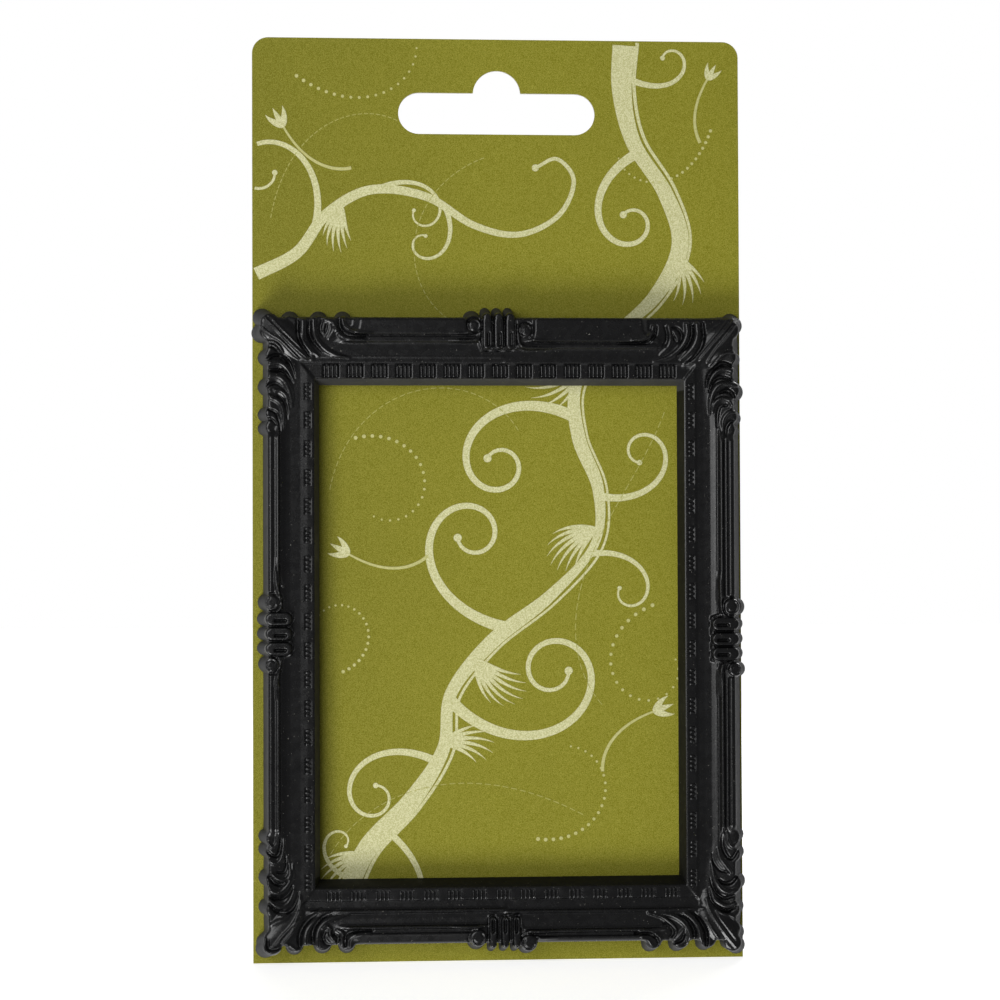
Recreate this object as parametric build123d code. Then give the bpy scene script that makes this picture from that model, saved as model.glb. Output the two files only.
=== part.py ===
from build123d import *
import os

# A magnetic photo frame on its hang card. It is modelled lying on its back, with X to the right, Y up the
# frame and Z towards the viewer, and is stood up at the end. The origin is the centre of the window on the
# back of the card.

# Hang card
card_width = 75.7
card_height = 142.5
card_above_window_centre = 20.7
card_thickness = 0.5
card_corner_radius = 2.5

# Hook slot in the card
slot_width = 30.6
slot_height = 6.4
slot_bottom_drop = 14.8
slot_bump_radius = 3.7
slot_bump_drop = 8.6

# Glue dots between the card and the frame
glue_dot_radius = 3.2
glue_dot_thickness = 0.3
glue_dot_inset = 4.6

# Picture window, at the back of the moulding
window_width = 55.6
window_height = 76.0
window_draft = 0.65

# Rails of the moulding, each measured across from the window to the outer edge at the back
moulding_depth = 6.2
side_rail_width = 8.85
top_rail_width = 11.0
bottom_rail_width = 9.7

# Rail sections from the window outward, each point a share of the rail's width and a share of the moulding's
# depth. The cove is an arc from the last point of the inner run to the first point of the outer run. The
# second and third points of each inner run are the ends of the flat band that the flutes stand on.
side_inner_shares = [(0.13, 0.71), (0.15, 0.68), (0.285, 0.68), (0.30, 0.72)]
side_cove_shares = (0.50, 0.71)
side_outer_shares = [(0.665, 0.78), (0.71, 0.92), (0.745, 0.92), (0.765, 0.84), (0.815, 0.84),
                     (0.835, 0.95), (0.885, 0.93)]
top_inner_shares = [(0.09, 0.71), (0.10, 0.68), (0.28, 0.68), (0.37, 0.78)]
top_cove_shares = (0.48, 0.765)
top_outer_shares = [(0.57, 0.82), (0.61, 0.92), (0.665, 0.92), (0.68, 0.86), (0.70, 1.0), (0.90, 0.97)]
bottom_inner_shares = [(0.11, 0.71), (0.12, 0.68), (0.30, 0.68), (0.39, 0.70), (0.46, 0.80)]
bottom_cove_shares = (0.56, 0.765)
bottom_outer_shares = [(0.65, 0.82), (0.70, 0.95), (0.74, 0.95), (0.77, 0.86), (0.84, 0.90)]

# Flutes on the flat band beside the window: short bars across the band, four to a group
flute_count = 4
flute_width = 0.36
flute_rise = 0.28
flute_sink = 0.3
end_flute_length = 1.3
end_flute_pitch = 0.6
end_group_pitch = 3.7
end_group_count = 15
side_flute_length = 1.0
side_flute_pitch = 0.75
side_group_pitch = 4.39
side_group_count = 18

# Centre ornament of each rail: three bars with a slot each, between two knobs
bar_count = 3
bar_height = 6.0
bar_slot_depth = 0.5
bar_slot_width = 0.45
bar_overhang = 0.8
short_bar_pitch = 1.75
short_bar_width = 1.4
short_bar_length = 5.6
short_slot_length = 1.7
long_bar_pitch = 2.3
long_bar_width = 1.9
long_bar_length = 4.9
long_slot_length = 1.6
left_ornament_drop = 0.0
right_ornament_drop = 1.2
knob_radius = 1.4
knob_height = 5.9
knob_inset = 1.5
knob_gap = 0.25

# Corner ornament, in plan: shares of its reach, the first inward from the side edge, the second inward from
# the end edge
corner_reach = 11.0
ground_shares = [(0.0, 0.0), (1.40, 0.0), (1.40, 0.26), (1.02, 0.56), (0.70, 0.64), (0.44, 0.86),
                 (0.34, 1.40), (0.0, 1.72)]
ground_height = 5.1
leaf_shares = [(0.03, 0.05), (0.43, 0.10), (0.57, 0.36), (0.69, 0.65), (0.40, 0.57), (0.21, 0.50),
               (0.08, 0.41)]
leaf_height = 5.5
leaf_ridge_rise = 0.7
leaf_ridge_angle = 45
rib_paths_shares = [
    [(0.59, 0.15), (0.63, 0.38), (0.79, 0.61)],
    [(0.76, 0.13), (0.82, 0.42), (1.14, 0.62)],
    [(1.36, 0.33), (1.21, 0.27), (1.10, 0.14)],
    [(0.10, 0.70), (0.33, 0.73), (0.43, 0.96)],
    [(0.08, 0.92), (0.31, 0.98), (0.43, 1.24)],
    [(0.10, 1.18), (0.25, 1.26), (0.32, 1.50)],
]
rib_width = 1.0
rib_top_width = 0.45
rib_base_height = 3.0
rib_height = 5.9
eye_shares = [(0.90, 0.28), (0.22, 1.12)]
eye_radius = 0.8
eye_height = 5.9

# Small lobes that stand out of the outer edge beside each corner, as shares of the corner's reach
end_lobe_shares = [0.20, 0.57, 0.95, 1.31]
side_lobe_shares = [0.27, 0.69, 1.08, 1.49, 1.67]
lobe_radius = 1.3
lobe_overhang = 0.75
lobe_height = 5.7

# Back of the moulding: a rebate for the picture, and a channel for each magnet strip
rebate_width = 1.9
rebate_depth = 0.7
magnet_width = 5.0
magnet_thickness = 1.5
tape_thickness = 0.15
tape_width = 4.4
magnet_end_margin = 1.0
channel_clearance = 0.15
side_channel_offset = 2.3
short_channel_offset = 2.9

# Round posts and curved ribs are many-sided, which keeps the moulding's facets few
post_sides = 14
rib_runs = 4

overrun = 1.0
stand_up_angle = 90

moulding_back = card_thickness + glue_dot_thickness
outer_width = window_width + 2 * side_rail_width
outer_top = window_height / 2 + top_rail_width
outer_bottom = window_height / 2 + bottom_rail_width
channel_depth = magnet_thickness + tape_thickness
short_magnet_length = window_width - 2 * magnet_end_margin
long_magnet_length = window_height - 2 * magnet_end_margin


def block(width, height, depth, x, y, z):
    """A box centred on x and y, with its back at z."""
    return Pos(x, y, z) * Box(width, height, depth, align=(Align.CENTER, Align.CENTER, Align.MIN))


def post(radius, depth, x, y):
    """A many-sided post that stands on the back of the moulding."""
    return Pos(x, y, 0) * extrude(RegularPolygon(radius, post_sides), depth)


def hang_card():
    board = extrude(RectangleRounded(card_width, card_height, card_corner_radius), card_thickness)
    foot_y = card_corner_radius - card_height / 2
    foot = block(card_width, 2 * card_corner_radius, card_thickness, 0, foot_y, 0)
    slot_face = Pos(0, slot_height / 2 - slot_bottom_drop) * SlotOverall(slot_width, slot_height)
    bump_face = Pos(0, -slot_bump_drop) * Circle(slot_bump_radius)
    slot = extrude(slot_face + bump_face, card_thickness + 2 * overrun)
    card = board + foot - Pos(0, card_height / 2, -overrun) * slot
    return Pos(0, card_above_window_centre, 0) * card


def glue_dots():
    dot = Cylinder(glue_dot_radius, glue_dot_thickness, align=(Align.CENTER, Align.CENTER, Align.MIN))
    x = outer_width / 2 - glue_dot_inset
    dots = []
    for y in (outer_top - glue_dot_inset, glue_dot_inset - outer_bottom):
        for side in (-1, 1):
            dots.append(Pos(side * x, y, card_thickness) * dot)
    return dots


def rail_section(width, inner_shares, cove_shares, outer_shares):
    """The section of a rail in the YZ plane: Y runs outward from the window, Z up from the back."""
    inner = [(0, 0)] + [(u * width, h * moulding_depth) for u, h in inner_shares]
    inner[1] = (window_draft, inner[1][1])
    cove = (cove_shares[0] * width, cove_shares[1] * moulding_depth)
    outer = [(u * width, h * moulding_depth) for u, h in outer_shares] + [(width, 0)]
    outline = Polyline(inner) + ThreePointArc(inner[-1], cove, outer[0]) + Polyline(outer + [inner[0]])
    return Plane.YZ * make_face(outline)


def rail(section, offset, turn, corners):
    """A rail with mitred ends: the section run along X, set out, turned and cut to its wedge."""
    length = outer_width + outer_top + outer_bottom
    bar = Rot(0, 0, turn) * Pos(0, offset, 0) * extrude(section, length / 2, both=True)
    wedge = extrude(make_face(Polyline(corners, close=True)), moulding_depth + overrun)
    return bar & wedge


def rails():
    inside_x = window_width / 2
    inside_y = window_height / 2
    inner_corners = [(-inside_x, inside_y), (inside_x, inside_y), (inside_x, -inside_y),
                     (-inside_x, -inside_y)]
    outside_x = outer_width / 2
    outer_corners = [(-outside_x, outer_top), (outside_x, outer_top), (outside_x, -outer_bottom),
                     (-outside_x, -outer_bottom)]
    side = rail_section(side_rail_width, side_inner_shares, side_cove_shares, side_outer_shares)
    top = rail_section(top_rail_width, top_inner_shares, top_cove_shares, top_outer_shares)
    bottom = rail_section(bottom_rail_width, bottom_inner_shares, bottom_cove_shares, bottom_outer_shares)
    plans = [(top, inside_y, 0), (side, inside_x, -90), (bottom, inside_y, 180), (side, inside_x, 90)]
    made = []
    for i, (section, offset, turn) in enumerate(plans):
        j = (i + 1) % len(plans)
        wedge = [inner_corners[i], outer_corners[i], outer_corners[j], inner_corners[j]]
        made.append(rail(section, offset, turn, wedge))
    return made


def flute_row(inner_shares, rail_width, length, pitch, group_pitch, group_count):
    """Groups of flutes along X on the flat band of a rail, with Y measured outward from the window."""
    band_start, base_share = inner_shares[1]
    middle = (band_start + inner_shares[2][0]) / 2 * rail_width
    base = base_share * moulding_depth - flute_sink
    solids = []
    for group in range(group_count):
        group_x = (group - (group_count - 1) / 2) * group_pitch
        for i in range(flute_count):
            x = group_x + (i - (flute_count - 1) / 2) * pitch
            solids.append(block(flute_width, length, flute_sink + flute_rise, x, middle, base))
    return solids


def flutes():
    top = flute_row(top_inner_shares, top_rail_width, end_flute_length, end_flute_pitch, end_group_pitch,
                    end_group_count)
    bottom = flute_row(bottom_inner_shares, bottom_rail_width, end_flute_length, end_flute_pitch,
                       end_group_pitch, end_group_count)
    side = flute_row(side_inner_shares, side_rail_width, side_flute_length, side_flute_pitch,
                     side_group_pitch, side_group_count)
    solids = [Pos(0, window_height / 2, 0) * flute for flute in top]
    solids += [Rot(0, 0, 180) * Pos(0, window_height / 2, 0) * flute for flute in bottom]
    for turn in (-90, 90):
        solids += [Rot(0, 0, turn) * Pos(0, window_width / 2, 0) * flute for flute in side]
    return solids


def centre_ornament(pitch, width, length, slot_length):
    """Three slotted bars between two knobs, at the middle of an edge, with Y measured outward from it."""
    solids = []
    for i in range(bar_count):
        x = (i - (bar_count - 1) / 2) * pitch
        face = Pos(x, bar_overhang - length / 2) * Rot(0, 0, 90) * SlotOverall(length, width)
        slot_y = bar_overhang - length + width / 2 + slot_length / 2
        slot_base = bar_height - bar_slot_depth
        slot = block(bar_slot_width, slot_length, bar_slot_depth + overrun, x, slot_y, slot_base)
        solids.append(extrude(face, bar_height) - slot)
    knob_x = (bar_count - 1) / 2 * pitch + width / 2 + knob_gap + knob_radius
    for side in (-1, 1):
        solids.append(post(knob_radius, knob_height, side * knob_x, -knob_inset))
    return solids


def centre_ornaments():
    short = centre_ornament(short_bar_pitch, short_bar_width, short_bar_length, short_slot_length)
    long = centre_ornament(long_bar_pitch, long_bar_width, long_bar_length, long_slot_length)
    solids = []
    for solid in short:
        solids.append(Pos(0, outer_top, 0) * solid)
        solids.append(Pos(0, -outer_bottom, 0) * Rot(0, 0, 180) * solid)
    for solid in long:
        solids.append(Pos(-outer_width / 2, -left_ornament_drop, 0) * Rot(0, 0, 90) * solid)
        solids.append(Pos(outer_width / 2, -right_ornament_drop, 0) * Rot(0, 0, -90) * solid)
    return solids


def corner_point(shares):
    """A place on the top right corner's ornament, from its outer corner."""
    return (-shares[0] * corner_reach, -shares[1] * corner_reach)


def ground():
    """The raised ground that the corner's leaf and ribs stand on, from its outer corner."""
    return extrude(make_face(Polyline([corner_point(p) for p in ground_shares], close=True)), ground_height)


def leaf():
    """The spear leaf on the corner's diagonal, with sides that slope up to a flat-topped ridge."""
    outline = make_face(Polyline([corner_point(p) for p in leaf_shares], close=True))
    body = extrude(outline, leaf_height)
    crown = Pos(0, 0, leaf_height) * extrude(outline, leaf_ridge_rise, taper=leaf_ridge_angle)
    return body + crown


def rib(path_shares):
    """A curved rib with sloping sides, in short runs along an arc in plan."""
    arc = ThreePointArc(*[corner_point(p) for p in path_shares])
    path = Polyline([arc @ (i / rib_runs) for i in range(rib_runs + 1)])
    tangent = path % 0
    across = Vector(0, 0, 1).cross(tangent)
    section_plane = Plane(origin=path @ 0, x_dir=across, z_dir=tangent)
    half = rib_width / 2
    half_top = rib_top_width / 2
    corners = [(-half, rib_base_height), (half, rib_base_height), (half_top, rib_height),
               (-half_top, rib_height)]
    section = section_plane * make_face(Polyline(corners, close=True))
    return sweep(section, path=path, transition=Transition.RIGHT)


def corner_ornament():
    """The ornament of the top right corner, from its outer corner."""
    solids = [leaf()] + [rib(path) for path in rib_paths_shares]
    for shares in eye_shares:
        x, y = corner_point(shares)
        solids.append(post(eye_radius, eye_height, x, y))
    inset = lobe_radius - lobe_overhang
    for share in end_lobe_shares:
        solids.append(post(lobe_radius, lobe_height, -share * corner_reach, -inset))
    for share in side_lobe_shares:
        solids.append(post(lobe_radius, lobe_height, -inset, -share * corner_reach))
    return solids


def at_corners(solid):
    """A solid of the top right corner, and its mirror images at the other three."""
    right_top = Pos(outer_width / 2, outer_top, 0) * solid
    right_bottom = Pos(outer_width / 2, -outer_bottom, 0) * solid.mirror(Plane.XZ)
    return [right_top, right_bottom, right_top.mirror(Plane.YZ), right_bottom.mirror(Plane.YZ)]


def magnet_places():
    """Name, width, height, centre x and centre y of each magnet strip."""
    short_y = window_height / 2 + short_channel_offset + magnet_width / 2
    side_x = window_width / 2 + side_channel_offset + magnet_width / 2
    return [("top", short_magnet_length, magnet_width, 0, short_y),
            ("bottom", short_magnet_length, magnet_width, 0, -short_y),
            ("left", magnet_width, long_magnet_length, -side_x, 0),
            ("right", magnet_width, long_magnet_length, side_x, 0)]


def frame_moulding():
    grounds = at_corners(ground())
    ornaments = centre_ornaments()
    for solid in corner_ornament():
        ornaments += at_corners(solid)
    straight = [one - grounds for one in rails()]
    body = straight[0] + straight[1:] + grounds + ornaments + flutes()
    rebate = block(window_width + 2 * rebate_width, window_height + 2 * rebate_width,
                   rebate_depth + overrun, 0, 0, -overrun)
    channels = []
    for name, width, height, x, y in magnet_places():
        channels.append(block(width + 2 * channel_clearance, height + 2 * channel_clearance,
                              channel_depth + overrun, x, y, -overrun))
    body = body - rebate - channels
    return Pos(0, 0, moulding_back) * body


def magnet_strip(width, height, x, y):
    return block(width, height, magnet_thickness, x, y, moulding_back)


def magnet_tape(width, height, x, y):
    trim = magnet_width - tape_width
    return block(width - trim, height - trim, tape_thickness, x, y, moulding_back + magnet_thickness)


def stand_up(shape):
    return Rot(stand_up_angle, 0, 0) * shape


nodes = {"hang_card": hang_card(),
         "glue_dots": Compound(children=glue_dots()),
         "frame_moulding": frame_moulding()}
for name, width, height, x, y in magnet_places():
    nodes["magnet_strip_" + name] = magnet_strip(width, height, x, y)
    nodes["magnet_tape_" + name] = magnet_tape(width, height, x, y)

os.makedirs("parts", exist_ok=True)
for name, shape in nodes.items():
    export_step(stand_up(shape), f"parts/{name}.step")
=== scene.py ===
import bpy
import bmesh
import math
import numpy as np
from mathutils import Matrix, Vector


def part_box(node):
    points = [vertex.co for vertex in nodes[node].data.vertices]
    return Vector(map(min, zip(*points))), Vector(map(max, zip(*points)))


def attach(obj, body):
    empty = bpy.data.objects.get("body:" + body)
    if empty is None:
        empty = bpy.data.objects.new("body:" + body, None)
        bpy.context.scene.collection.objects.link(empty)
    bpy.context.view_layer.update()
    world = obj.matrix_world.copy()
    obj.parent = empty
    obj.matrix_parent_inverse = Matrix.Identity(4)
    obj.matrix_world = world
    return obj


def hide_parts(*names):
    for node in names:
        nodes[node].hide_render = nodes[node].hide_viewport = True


# A magnetic photo frame on its printed hang card. Shapes are worked out flat, in millimetres, with x to the
# right, y up the frame and z towards the viewer, from the middle of the window on the back of the card. The
# function stand_up turns them into the upright frame in metres.

MM = 0.001
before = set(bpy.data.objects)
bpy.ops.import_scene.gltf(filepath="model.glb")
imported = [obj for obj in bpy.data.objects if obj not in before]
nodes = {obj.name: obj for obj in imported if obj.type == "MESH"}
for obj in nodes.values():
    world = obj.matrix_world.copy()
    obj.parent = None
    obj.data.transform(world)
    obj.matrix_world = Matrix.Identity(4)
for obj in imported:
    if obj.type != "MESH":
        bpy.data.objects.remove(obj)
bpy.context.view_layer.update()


def stand_up(x, y, z):
    """A flat place in millimetres as an upright place in metres."""
    return Vector((x * MM, -z * MM, y * MM))


def lay_flat(corner):
    """An upright place in metres as a flat place in millimetres."""
    return np.array((corner[0], corner[2], -corner[1])) / MM


def flat_box(node):
    """Lowest and highest corner of a CAD node, laid flat, in millimetres."""
    a, b = (lay_flat(corner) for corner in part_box(node))
    return np.minimum(a, b), np.maximum(a, b)


card_low, card_high = flat_box("hang_card")
CARD_FRONT = card_high[2]
BACK = flat_box("frame_moulding")[0][2]

# A length that is as good as none, and one that is beyond any
TINY = 1e-6
FAR = 1e9

# Plan of the moulding's front: the window, the lip round it, the feet of the window's walls, the outer edges
WINDOW_X = 27.8
WINDOW_Y = 38.0
LIP_SIDE = 0.65
LIP_TOP = 0.85
LIP_BOTTOM = 0.8
LIP_X = WINDOW_X + LIP_SIDE
LIP_LOW = -WINDOW_Y - LIP_BOTTOM
LIP_HIGH = WINDOW_Y + LIP_TOP
WINDOW_FOOT_LOW = (-27.65, -37.7)
WINDOW_FOOT_HIGH = (27.8, 38.05)
EDGE_LEFT = -35.55
EDGE_RIGHT = 36.05
EDGE_TOP = 48.15
EDGE_BOTTOM = -47.25
EDGE_ROUND_WIDTH = 0.55
EDGE_ROUND_DEPTH = 0.38
TURN_RADIUS = 4.0
LOBE_BLEND = 0.25
BAR_BLEND = 0.15

# Widths of the rails that set the mitre's slope, its blend, and where the end rails change their section
SIDE_RAIL = 8.0
END_RAIL = 10.0
MITRE_BLEND = 0.25
SECTION_CHANGE = (0.2, 0.9)

# Corner grounds rise gently from the flat band outward. The blends lie across a ground's outline.
GROUND_START = 3.2
GROUND_END = 8.0
GROUND_LOW = 4.5
GROUND_HEIGHT = 5.05
CORNER_BLEND = (-0.9, 0.6)
CENTRE_BLEND = (-0.25, 0.25)

# Bars of the centre ornaments. A moat has the distance of its middle from the outline, and its half width.
BAR_TOP = 5.8
BAR_EDGE = 0.4
BAR_MOAT = (0.02, 0.16)
BAR_MOAT_DEPTH = 0.35
SLOT_HALF_WIDTH = 0.2
SLOT_LENGTH_END = 1.7
SLOT_LENGTH_SIDE = 1.5
SLOT_DEPTH = 0.6
SLOT_EDGE = (0.1, -0.08)

# Scroll knobs beside the bars. The opening and the fade are cosines of the angle from where the scroll opens.
KNOB_TOP = 5.75
KNOB_EDGE = 0.5
KNOB_MOAT = (0.1, 0.18)
KNOB_MOAT_DEPTH = 0.3
KNOB_OPENING = 0.7
KNOB_RING_SHARE = 0.6
KNOB_RING_WIDTH = 0.17
KNOB_RING_DEPTH = 0.28
KNOB_RING_FADE = (0.5, 0.1)

# Flutes on the band between the lip and the cove, four to a group, each group in a sunk field. A row of
# groups has a count, a pitch, the middle's shift along the rail, the flutes' pitch and width.
FLUTES_PER_GROUP = 4
TOP_ROW = (15, 3.7, 0.0, 0.62, 0.38)
BOTTOM_ROW = (15, 3.7, 0.3, 0.62, 0.38)
SIDE_ROW = (18, 4.39, -0.45, 0.7, 0.46)
TOP_FLUTE = (38.98, 41.0)
BOTTOM_FLUTE = (-40.8, -39.15)
SIDE_FLUTE = (28.9, 30.0)
TOP_FIELD_DEPTH = 0.3
FIELD_DEPTH = 0.14
TOP_FIELD_MARGIN = 0.1
FIELD_MARGIN = -0.1
FIELD_EDGE = 0.07
LINE_ASIDE = 0.07
FLUTE_SINK = 0.06
TOP_FLUTE_PROUD = 0.08
FLUTE_PROUD = 0.16
# Rounding of a flute's two ends, low end first, and how much its top falls away from the low end
END_ROUNDS = (0.8, 0.2)
SIDE_ROUNDS = (0.4, 0.4)
TOP_FALL_SHARE = 0.45
BOTTOM_FALL_SHARE = 0.2
# The power that squares a flute's cross-section, and the number of its sections and of the points round each
FLUTE_SQUARING = 0.7
FLUTE_RINGS = 14
FLUTE_POINTS = 14

# Grid of the face: the places across and up where its runs meet. Runs 2 and 4 take the flutes' own lines, the
# others are fine.
FINE_STEP = 0.12
LINE_GAP = 0.04
GRID_X = (-38.6, -LIP_X, -20.0, -6.4, 6.4, 20.0, LIP_X, 39.0)
GRID_Y = (-50.4, LIP_LOW, -28.0, -9.0, 8.0, 28.0, LIP_HIGH, 50.6)
FLUTED_RUNS = (2, 4)

# Walls: shares of the way down, the draft of each straight wall, and how far a lobe's foot stands out
WALL_SHARES = (0.12, 0.35, 0.65, 1.0)
WINDOW_WALL_SHARES = (0.5, 1.0)
LEFT_DRAFT = 0.7
RIGHT_DRAFT = 1.5
TOP_DRAFT = 0.5
BOTTOM_DRAFT = 0.5
LEFT_LOBE_DRAFT = 1.15
RIGHT_LOBE_DRAFT = 1.3
TOP_LOBE_DRAFT = 1.15
BOTTOM_LOBE_DRAFT = 1.0
FOOT_BLEND = 0.12
LEAST_DRAFT = 0.3
SHARP_ANGLE = math.radians(50)

# Back: the rebate round the window, the room round each magnet strip, the flat land's edges, and the decimals
# at which two places in its plan count as one
REBATE_WIDTH = 1.9
REBATE_DEPTH = 0.7
CHANNEL_GAP = 0.15
LAND_X = 35.9
LAND_TOP = 48.0
LAND_BOTTOM = -46.6
PLAN_DIGITS = 4
MAGNETS = ("top", "bottom", "left", "right")

# The card's corners and its hook slot, as the card node has them
CARD_CORNER = 2.5
HOOK_HALF_LENGTH = 15.3
HOOK_HALF_HEIGHT = 3.2
HOOK_DROP = 11.6
BUMP_DROP = 8.6
BUMP_RADIUS = 3.7

# Ink: how high the first shape stands, how much higher each next one, how deep they reach, the card's bare
# edge, the least width of a line, and the points on half a dot with the seam between its halves
INK_LIFT = 0.02
INK_STEP = 0.0003
INK_SINK = 0.1
INK_MARGIN = 0.12
LEAST_WIDTH = 0.03
DOT_POINTS = 9
DOT_SEAM = 0.001

# Print: the vine's parts. Widths and bends in a pair go from a line's start to its end, gaps from its ends to
# its middle. A blade's length and bend depend on its place in the spray.
STEM_WIDTH = 3.2
STEM_WAIST = 1.5
STEM_WAVE = 0.4
STEM_WAVES = 9
SECOND_LINE_GAPS = (2.05, 1.35)
SECOND_LINE_WIDTH = 0.55
SECOND_LINE_WAIST = 0.2
SIDE_STEM_WIDTHS = (2.0, 0.5)
SIDE_STEM_DOT = 0.55
CURL_SHARES = (1.25, 0.35)
CURL_DOT_SHARE = 0.42
BLADE_WIDTH = 0.62
BLADE_SHARES = (0.55, 0.45)
BLADE_PHASE = (0.15, 0.7)
BLADE_BENDS = (0.4, 2.4)
FINE_ARC_WIDTH = 0.12
DASH_STEPS = 3
DOT_FADE = 0.025
SHOOT_LENGTH = 13
SHOOT_BENDS = (2.0, 9.0)
SHOOT_WIDTHS = (0.3, 0.5)
PETAL_LENGTH = 3.4
PETAL_WIDTH = 0.95
PETAL_SPREAD = 28
PETAL_BENDS = (10, -22)
SWELL_PLACE = 0.62
SWELL_ROUNDING = 0.9

# Finishes of the moulding, in the order of its material slots: darkest and lightest tone, as screen colours,
# lowest and highest roughness, and specular level
MOULDING_FINISHES = {
    "carved_face": ((8, 8, 9), (12, 12, 13), 0.23, 0.31, 0.5),
    # The two wall finishes are painted light: a paler lit copy of the plastic for the walls where light
    # falls, and a darker shaded copy for the window's walls in shade.
    "painted_lit_wall": ((58, 58, 59), (66, 66, 67), 0.6, 0.7, 0.15),
    "painted_shaded_wall": ((16, 16, 17), (21, 21, 22), 0.6, 0.7, 0.15),
}
DUST = (120, 118, 112)

# Card: olive tones of the print, tones of the board, the painted shade that darkens the print towards the
# left edge, the print's darker tone in its clouds, and how deep into the board the print's colour reaches
OLIVES = ((0.38, (115, 112, 12)), (0.5, (141, 138, 40)), (0.62, (165, 161, 66)))
BOARD_TONES = ((214, 211, 203), (232, 229, 222))
# Painted shade: how dark the card's front is made at its left edge, fading out at the middle.
LEFT_EDGE_PAINTED_SHADE = 0.84
CLOUD_SHADE = 0.94
PRINT_DEPTH = 0.02

# Noises: grains per metre, detail, and at times roughness
PLASTIC_CLOUD = (260, 3)
PLASTIC_GLOSS = (900, 3)
PLASTIC_DUST = (4200, 1)
PLASTIC_GRAIN = (5200, 3, 0.6)
INK_GRAIN = (6500, 2)
CARD_GRAIN = (9500, 2, 0.7)
CARD_CLOUD = (40, 3)
CARD_FIBRE = (1500, 4)
GLUE_GRAIN = (700, 2)

# Where along a noise its two tones lie: in most finishes, in the inks and in the dust
TONES_AT = (0.3, 0.7)
INK_TONES_AT = (0.35, 0.65)
DUST_AT = (0.745, 0.79)

# Bumps: strength, and depth in millimetres
PLASTIC_BUMP = (0.35, 0.02)
CARD_BUMP = (0.15, 0.03)
GLUE_BUMP = (0.3, 0.1)

# Places of the colours among a mix node's inputs, and of the mixed colour among its outputs
MIX_INPUTS = (6, 7)
MIX_OUTPUT = 2
WHITE = (1, 1, 1, 1)

# The print's inks: piece, material, darker and paler tint
INKS = (
    ("print_vine", "vine_ink", (192, 190, 130), (228, 226, 180)),
    ("print_fine_lines", "fine_ink", (186, 184, 112), (206, 203, 140)),
    ("print_faint_lines", "faint_ink", (164, 162, 80), (182, 179, 104)),
)

# Finishes of the back's parts: node, material, darker and paler tone, the noises of its tone and of its bump,
# roughness and bump
BACK_FINISHES = (
    ("magnet_strip_", "magnet_rubber_", (48, 42, 38), (66, 59, 54), (900, 3), (3600, 2), 0.7, (0.4, 0.05)),
    ("magnet_tape_", "magnet_tape_", (196, 188, 164), (214, 208, 188), (1400, 3), (5600, 2), 0.55,
     (0.4, 0.03)),
)
GLUE_TONES = ((222, 214, 190), (240, 236, 220))

# Camera
PICTURE_SIDE = 1000
CAMERA_FOCAL_PIXELS = 2908
CAMERA_PLACE = (-35.4, 8.4, 449.0)
CAMERA_TURN = (-1.53, 4.55, 0.09)
SENSOR_WIDTH = 36.0
NEAREST = 0.01

# Studio: the floor's half width in metres, its grey, its glow near the object and far from it, and the
# world's strength as plain light and as shiny surfaces see it, in front of the object and around it
FLOOR_HALF = 3.0
FLOOR_GREY = 0.85
FLOOR_ROUGHNESS = 0.9
NEAR_FLOOR = 250
FAR_FLOOR = 900
NEAR_GLOW = 0.77
FAR_GLOW = 0.97
AMBIENT = 0.1
ROOM = 0.13
ROOM_EDGE = (-0.35, 0.05)
SURROUND_BELOW = 1.1
SURROUND_ABOVE = 0.4
SURROUND_EDGE = (-0.6, 0.6)

# Lamps: name, place and aim laid flat in millimetres, size in metres and power in watts
LAMPS = (
    ("low", (-270, -470, 480), (0, 0, 0), 0.34, 3.5),
    ("high", (-330, 170, 600), (0, 20, 0), 0.45, 2.05),
    ("back", (100, 400, -600), (0, 20, 0), 0.6, 3.0),
)

# Sections of the rails from the window outward: distance from the window, height above the moulding's back
SIDE_LEFT = [
    (0.65, 4.44), (0.8, 4.5), (1.7, 4.52), (2.8, 4.46), (3.6, 4.48), (4.4, 4.5), (5.0, 4.58), (5.45, 4.75),
    (5.6, 4.85), (5.72, 4.78), (5.82, 4.95), (6.0, 5.45), (6.15, 5.62), (6.4, 5.55), (6.55, 5.42),
    (6.75, 5.4), (7.1, 5.52), (7.4, 5.56), (7.55, 5.5), (7.7, 5.56), (9.0, 5.6),
]
SIDE_RIGHT = [
    (0.65, 4.44), (0.8, 4.5), (2.2, 4.52), (2.6, 4.44), (3.6, 4.46), (4.6, 4.54), (5.2, 4.7), (5.5, 4.85),
    (5.65, 4.75), (5.8, 4.95), (6.05, 5.45), (6.22, 5.58), (6.4, 5.5), (6.6, 5.15), (6.95, 5.1), (7.15, 5.3),
    (7.4, 5.65), (7.55, 5.72), (9.0, 5.74),
]
TOP_LEFT = [
    (0.8, 4.05), (0.95, 4.22), (1.1, 4.26), (2.9, 4.18), (3.0, 4.22), (3.3, 4.52), (3.85, 4.62), (3.95, 4.6),
    (4.1, 4.78), (4.2, 4.8), (4.4, 4.72), (5.3, 4.76), (6.0, 4.9), (6.25, 4.98), (6.6, 5.42), (6.75, 5.48),
    (7.2, 5.46), (7.35, 5.28), (7.45, 5.3), (7.65, 5.72), (7.8, 5.8), (9.0, 5.86), (10.0, 5.8), (12.0, 5.7),
]
TOP_RIGHT = [
    (0.8, 4.05), (0.95, 4.22), (1.1, 4.26), (2.85, 4.18), (2.95, 4.22), (3.2, 4.5), (3.42, 4.66),
    (3.55, 4.6), (4.4, 4.66), (5.1, 4.82), (5.3, 4.9), (5.6, 5.3), (5.75, 5.36), (6.1, 5.34), (6.25, 5.18),
    (6.35, 5.2), (6.55, 5.62), (6.7, 5.72), (8.0, 5.84), (10.0, 5.8), (12.0, 5.7),
]
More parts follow.
